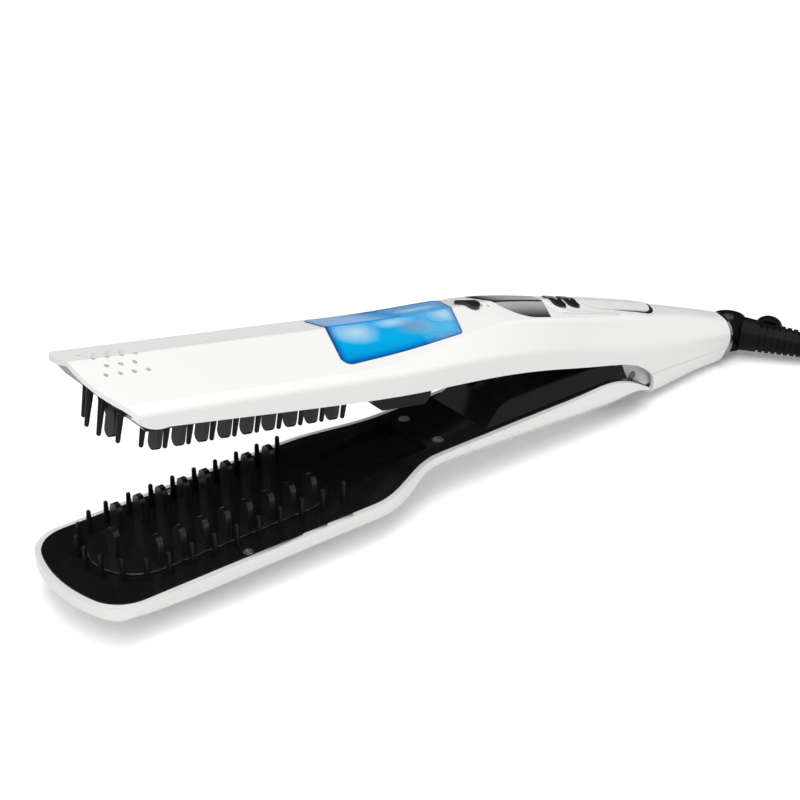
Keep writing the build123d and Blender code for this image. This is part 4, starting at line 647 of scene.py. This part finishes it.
# %% Clear blue tank
tank_blue = bpy.data.materials.new("tank_blue_clear")
tree = shader_tree(tank_blue)
TANK_FRONT = -160.5
TANK_REAR = -99.5
TANK_FRONT_HALF = 21.2
TANK_REAR_HALF = 15.2
TANK_SLANT = 6.2
U, Y = place_on_arm(tree)
past_front = math(tree, "ADD", U, -TANK_FRONT)
before_rear = math(tree, "MULTIPLY_ADD", U, -1.0, TANK_REAR)
front_gap = math(tree, "MULTIPLY_ADD", Y, -TANK_SLANT / TANK_FRONT_HALF, past_front)
rear_gap = math(tree, "MULTIPLY_ADD", Y, TANK_SLANT / TANK_REAR_HALF, before_rear)
narrowing = (TANK_REAR_HALF - TANK_FRONT_HALF) / (TANK_REAR - TANK_FRONT)
half = math(tree, "MULTIPLY_ADD", past_front, narrowing, TANK_FRONT_HALF)
side_gap = math(tree, "SUBTRACT", half, math(tree, "ABSOLUTE", Y))
rim_gap = math(tree, "MINIMUM", math(tree, "MINIMUM", front_gap, rear_gap), side_gap)
# Painted shade: the blue darkens along the rim of the tank.
rim_painted_shade = ramp(tree, math(tree, "MULTIPLY", rim_gap, 0.25), (0.06, 1), (0.45, 0.35), (0.9, 0))
from_front = math(tree, "MULTIPLY_ADD", U, 1 / 62.0, 166.0 / 62.0, clamp=True)
to_near = math(tree, "MULTIPLY", Y, -1 / 21.0)


def blotch(u, y, long, wide, edge=0.15):
    """Soft round patch on the tank, at a place along and across the arm."""
    along = math(tree, "MULTIPLY", math(tree, "ADD", U, -u), 1 / long)
    aside = math(tree, "MULTIPLY", math(tree, "ADD", Y, -y), 1 / wide)
    reach = math(tree, "MULTIPLY_ADD", noise(tree, 70.0), 0.5, length_of(tree, along, aside))
    return ramp(tree, reach, (edge, 1), (1.0, 0))


# Painted shade: the blue darkens towards the near edge of the tank.
shaded_blue = ramp(
    tree, to_near, (0.0, (0.003, 0.40, 0.90, 1)), (0.02, (0.008, 0.40, 0.84, 1)),
    (0.5, (0.002, 0.47, 0.86, 1)), (0.86, (0.002, 0.36, 0.78, 1)), (1.0, (0.001, 0.14, 0.52, 1)),
)
# Painted highlights: pale patches on the near slope under the roof.
pale_highlights = math(tree, "MAXIMUM", blotch(-150.0, -5.0, 17.0, 10.0), blotch(-131.0, -2.5, 15.0, 5.0))
pale_highlights = math(tree, "MAXIMUM", pale_highlights, blotch(-106.0, -3.5, 11.0, 7.0))
below_ridge = ramp(tree, to_near, (0.012, 0), (0.035, 0.95))
pale_highlights = math(tree, "MULTIPLY", pale_highlights, below_ridge)
hue = mixed(tree, pale_highlights, shaded_blue, (0.66, 0.86, 0.94, 1))
# Painted shade: a grey-blue patch on the near slope.
shade = math(tree, "MULTIPLY", blotch(-124.0, -7.0, 14.0, 7.0), 0.75)
hue = mixed(tree, shade, hue, (0.30, 0.33, 0.45, 1))
beyond_ridge = math(tree, "SUBTRACT", 1.0, below_ridge)
# Painted highlight: a pale streak beyond the ridge.
far_highlight_streak = math(tree, "MULTIPLY", blotch(-112.0, 7.0, 16.0, 5.0), beyond_ridge)
hue = mixed(tree, math(tree, "MULTIPLY", far_highlight_streak, 0.7), hue, (0.80, 0.95, 1.0, 1))
# Painted shade: a deeper blue patch beyond the ridge.
far_painted_shade = math(tree, "MULTIPLY", blotch(-158.0, 9.0, 24.0, 12.0), beyond_ridge)
hue = mixed(tree, math(tree, "MULTIPLY", far_painted_shade, 0.8), hue, (0.008, 0.16, 0.60, 1))
hue = mixed(tree, rim_painted_shade, hue, (0.001, 0.10, 0.42, 1))
near_rear = ramp(tree, from_front, (0.66, 0), (0.80, 1))
waves = add(
    tree, "ShaderNodeTexWave", {"Scale": 55.0, "Distortion": 9.0, "Detail": 2.0, "Detail Scale": 3.0},
    bands_direction="Y",
)
# The folds are a bump relief and also carry a painted highlight in their colour.
fold_relief_and_highlight = ramp(tree, waves.outputs["Fac"], (0.80, 0), (0.96, 1))
fold_relief_and_highlight = math(tree, "MULTIPLY", fold_relief_and_highlight, near_rear)
hue = mixed(tree, math(tree, "MULTIPLY", fold_relief_and_highlight, 0.9), hue, (0.60, 0.90, 1.0, 1))
marks = use(tree, smudges, Amount=0.4)
rough = math(tree, "MULTIPLY_ADD", marks, 0.25, math(tree, "MULTIPLY_ADD", pale_highlights, 0.12, 0.05), clamp=True)
relief = math(tree, "MULTIPLY_ADD", fold_relief_and_highlight, 0.6, use(tree, moulding, Scale=500.0, Waviness=0.6))
bump = add(tree, "ShaderNodeBump", {"Height": relief, "Strength": 0.4, "Distance": 0.00008})
clear = add(tree, "ShaderNodeBsdfPrincipled", {
    "Base Color": hue, "Roughness": rough, "Normal": bump.outputs[0], "IOR": 1.22,
    "Transmission Weight": 0.25, "Coat Weight": 0.08, "Coat Roughness": 0.03,
})
add(tree, "ShaderNodeOutputMaterial", {"Surface": clear.outputs[0]})
dress(tank_blue, "water_tank")

print("clear finish:", tank_blue.name)

# %% [markdown]
# A clear tank looks empty without its water. The water is a closed pool a
# little smaller than the inside of the tank, with a rounded rim where it clings
# to the wall, and its surface stays just under the roof. It rides on the tank,
# so it lifts out with it.

# %% Water in the tank
ARM = Vector((cos(OPEN), 0, -sin(OPEN)))
ARM_UP = Vector((sin(OPEN), 0, cos(OPEN)))
HINGE = Vector((HINGE_X, 0, HINGE_Z)) * MM


def arm_point(u, y, v):
    """A place on the upper arm, from millimetres to the frame."""
    return HINGE + ARM * (u * MM) + ARM_UP * (v * MM) + Vector((0, y * MM, 0))


def water_outline(shrink):
    """Plan of the water: the slanted tank, drawn in by its wall."""
    corners_in = [(-165.0, -19.2), (-103.9, -13.2), (-95.6, 13.2), (-156.6, 19.2)]
    middle_u = sum(u for u, y in corners_in) / 4
    return [(middle_u + (u - middle_u) * shrink, y * shrink) for u, y in corners_in]


water_mesh = bpy.data.meshes.new("tank_water")
pool = bmesh.new()
rings = []
for shrink, level in ((0.95, 22.9), (0.985, 23.3), (0.985, 26.2), (0.975, 26.55), (0.95, 26.4)):
    row = []
    plan = water_outline(shrink)
    for k, (u, y) in enumerate(plan):
        next_u, next_y = plan[(k + 1) % 4]
        for step in range(12):
            share = step / 12
            at = arm_point(u + (next_u - u) * share, y + (next_y - y) * share, level)
            row.append(pool.verts.new(at))
    rings.append(row)
for low, high in zip(rings, rings[1:]):
    for k in range(len(low)):
        following = (k + 1) % len(low)
        pool.faces.new((low[k], low[following], high[following], high[k]))
pool.faces.new(list(reversed(rings[0])))
pool.faces.new(rings[-1])
for face in pool.faces:
    face.smooth = True
pool.to_mesh(water_mesh)
pool.free()
tank_water = bpy.data.objects.new("tank_water", water_mesh)
bpy.context.scene.collection.objects.link(tank_water)
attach(tank_water, "tank")

water = bpy.data.materials.new("water_blue")
tree = shader_tree(water)
ripple = noise(tree, 75.0, 2.0)
bump = add(tree, "ShaderNodeBump", {"Height": ripple, "Strength": 0.4, "Distance": 0.0008})
tint = mixed(tree, noise(tree, 24.0), (0.55, 0.83, 0.97, 1), (0.68, 0.90, 0.98, 1))
wet = add(tree, "ShaderNodeBsdfPrincipled", {
    "Base Color": tint, "Roughness": 0.02, "IOR": 1.33, "Transmission Weight": 1.0,
    "Normal": bump.outputs[0],
})
add(tree, "ShaderNodeOutputMaterial", {"Surface": wet.outputs[0]})
water_mesh.materials.append(water)
print("faces of water:", len(water_mesh.polygons))

# %% [markdown]
# The display is one curved window of smoked plastic. It is black on the far
# side of the ridge; just below the ridge lies a silver band of painted
# reflection, which fades to dark grey towards the near edge, where a lit liquid
# crystal would show.

# %% Display window
smoked = bpy.data.materials.new("display_smoked")
tree = shader_tree(smoked)
across = math(tree, "MULTIPLY_ADD", place_on_arm(tree)[1], -1 / 13.0, 0.0, clamp=True)
# Painted reflection: a silver band just below the ridge, fading to dark grey towards the near edge.
painted_reflection = ramp(
    tree, across, (0.0, 0.003), (0.05, 0.004), (0.09, 0.50), (0.38, 0.40), (0.62, 0.20),
    (0.84, 0.05), (1.0, 0.02),
)
brushed = noise(tree, 900.0, 2.0, (0.08, 1, 1))
painted_reflection = mixed(tree, math(tree, "MULTIPLY", brushed, 0.25), painted_reflection, (0.05, 0.05, 0.055, 1))
marks = use(tree, smudges, Amount=0.4)
specks = use(tree, dust, Amount=0.2)
base = mixed(tree, specks, painted_reflection, (0.5, 0.5, 0.48, 1))
relief = use(tree, moulding, Scale=1200.0, Waviness=0.2)
bump = add(tree, "ShaderNodeBump", {"Height": relief, "Strength": 0.3, "Distance": 0.00001})
glass = add(tree, "ShaderNodeBsdfPrincipled", {
    "Base Color": base, "Roughness": math(tree, "MULTIPLY_ADD", marks, 0.3, 0.08), "Normal": bump.outputs[0],
    "Specular IOR Level": 0.3, "Coat Weight": 0.3, "Coat Roughness": 0.03,
})
add(tree, "ShaderNodeOutputMaterial", {"Surface": glass.outputs[0]})

print("window finish:", smoked.name)

# %% [markdown]
# Under the window lie a green board with its tracks and a liquid crystal panel.
# They only show when the window or the tank is off, so the board is one brick
# pattern for the tracks over a mottled lacquer, and the panel a plain grey
# green with a polished face.

# %% Circuit board and display panel
board = bpy.data.materials.new("board_green")
tree = shader_tree(board)
place = add(tree, "ShaderNodeTexCoord").outputs["Object"]
tracks = add(tree, "ShaderNodeTexBrick", {"Vector": place, "Scale": 260.0, "Mortar Size": 0.012})
green = mixed(tree, noise(tree, 55.0, 3.0), (0.012, 0.10, 0.035, 1), (0.018, 0.14, 0.05, 1))
lines = ramp(tree, tracks.outputs["Fac"], (0.4, 0), (0.6, 1))
base = mixed(tree, lines, green, (0.10, 0.32, 0.10, 1))
base = mixed(tree, use(tree, dust, Amount=0.4), base, (0.5, 0.5, 0.48, 1))
bump = add(tree, "ShaderNodeBump", {"Height": lines, "Strength": 0.4, "Distance": 0.00004})
laminate = add(tree, "ShaderNodeBsdfPrincipled", {
    "Base Color": base, "Roughness": 0.32, "Normal": bump.outputs[0],
})
add(tree, "ShaderNodeOutputMaterial", {"Surface": laminate.outputs[0]})
crystal = finish_of(
    "lcd_grey_green", (0.30, 0.34, 0.28), (0.26, 0.30, 0.25), 0.18, grain=1500.0, depth=0.008,
    smudge=0.1,
)
lead_silicone = finish_of(
    "lead_silicone", (0.55, 0.54, 0.50), (0.48, 0.47, 0.44), 0.5, grain=1200.0, depth=0.03, smudge=0.2,
)

print("inner finishes:", board.name, crystal.name, lead_silicone.name)

# %% [markdown]
# Every part of the engineering model gets one finish from the list, by name.
# Keeping the list in one place shows at a glance which parts are steel, which
# are rubber and which are printed.

# %% Which part wears what
dress(steel, "lower_neck_screws", "lower_rim_screws", "yoke_screws", "swing_pin", "pump_plunger")
dress(dark_steel, "hinge_bracket", "hinge_spring", "hinge_pin")
dress(cheek_grey, "hinge_yoke")
dress(chrome, "end_ring")
dress(brass, "plug_pins")
dress(aluminium, "lower_heater", "upper_heater", "steam_chamber")
dress(rubber, "strain_relief", "cord_knuckle", "swivel_fork", "cord", "cord_hank")
dress(lead_silicone, "power_leads")
dress(band_rubber, "cord_tie")
dress(plug_rubber, "plug")
dress(mica, "lower_insulator")
dress(inner_grey, "upper_inner_cover", "tact_switches")
dress(board, "circuit_board")
dress(crystal, "lcd_panel")
dress(seal, "tank_plug")
dress(key_black, "steam_switch")
dress(smoked, "display_window")
lead.data.materials.append(rubber)
print("parts without a finish yet:", sorted(set(nodes) - dressed))
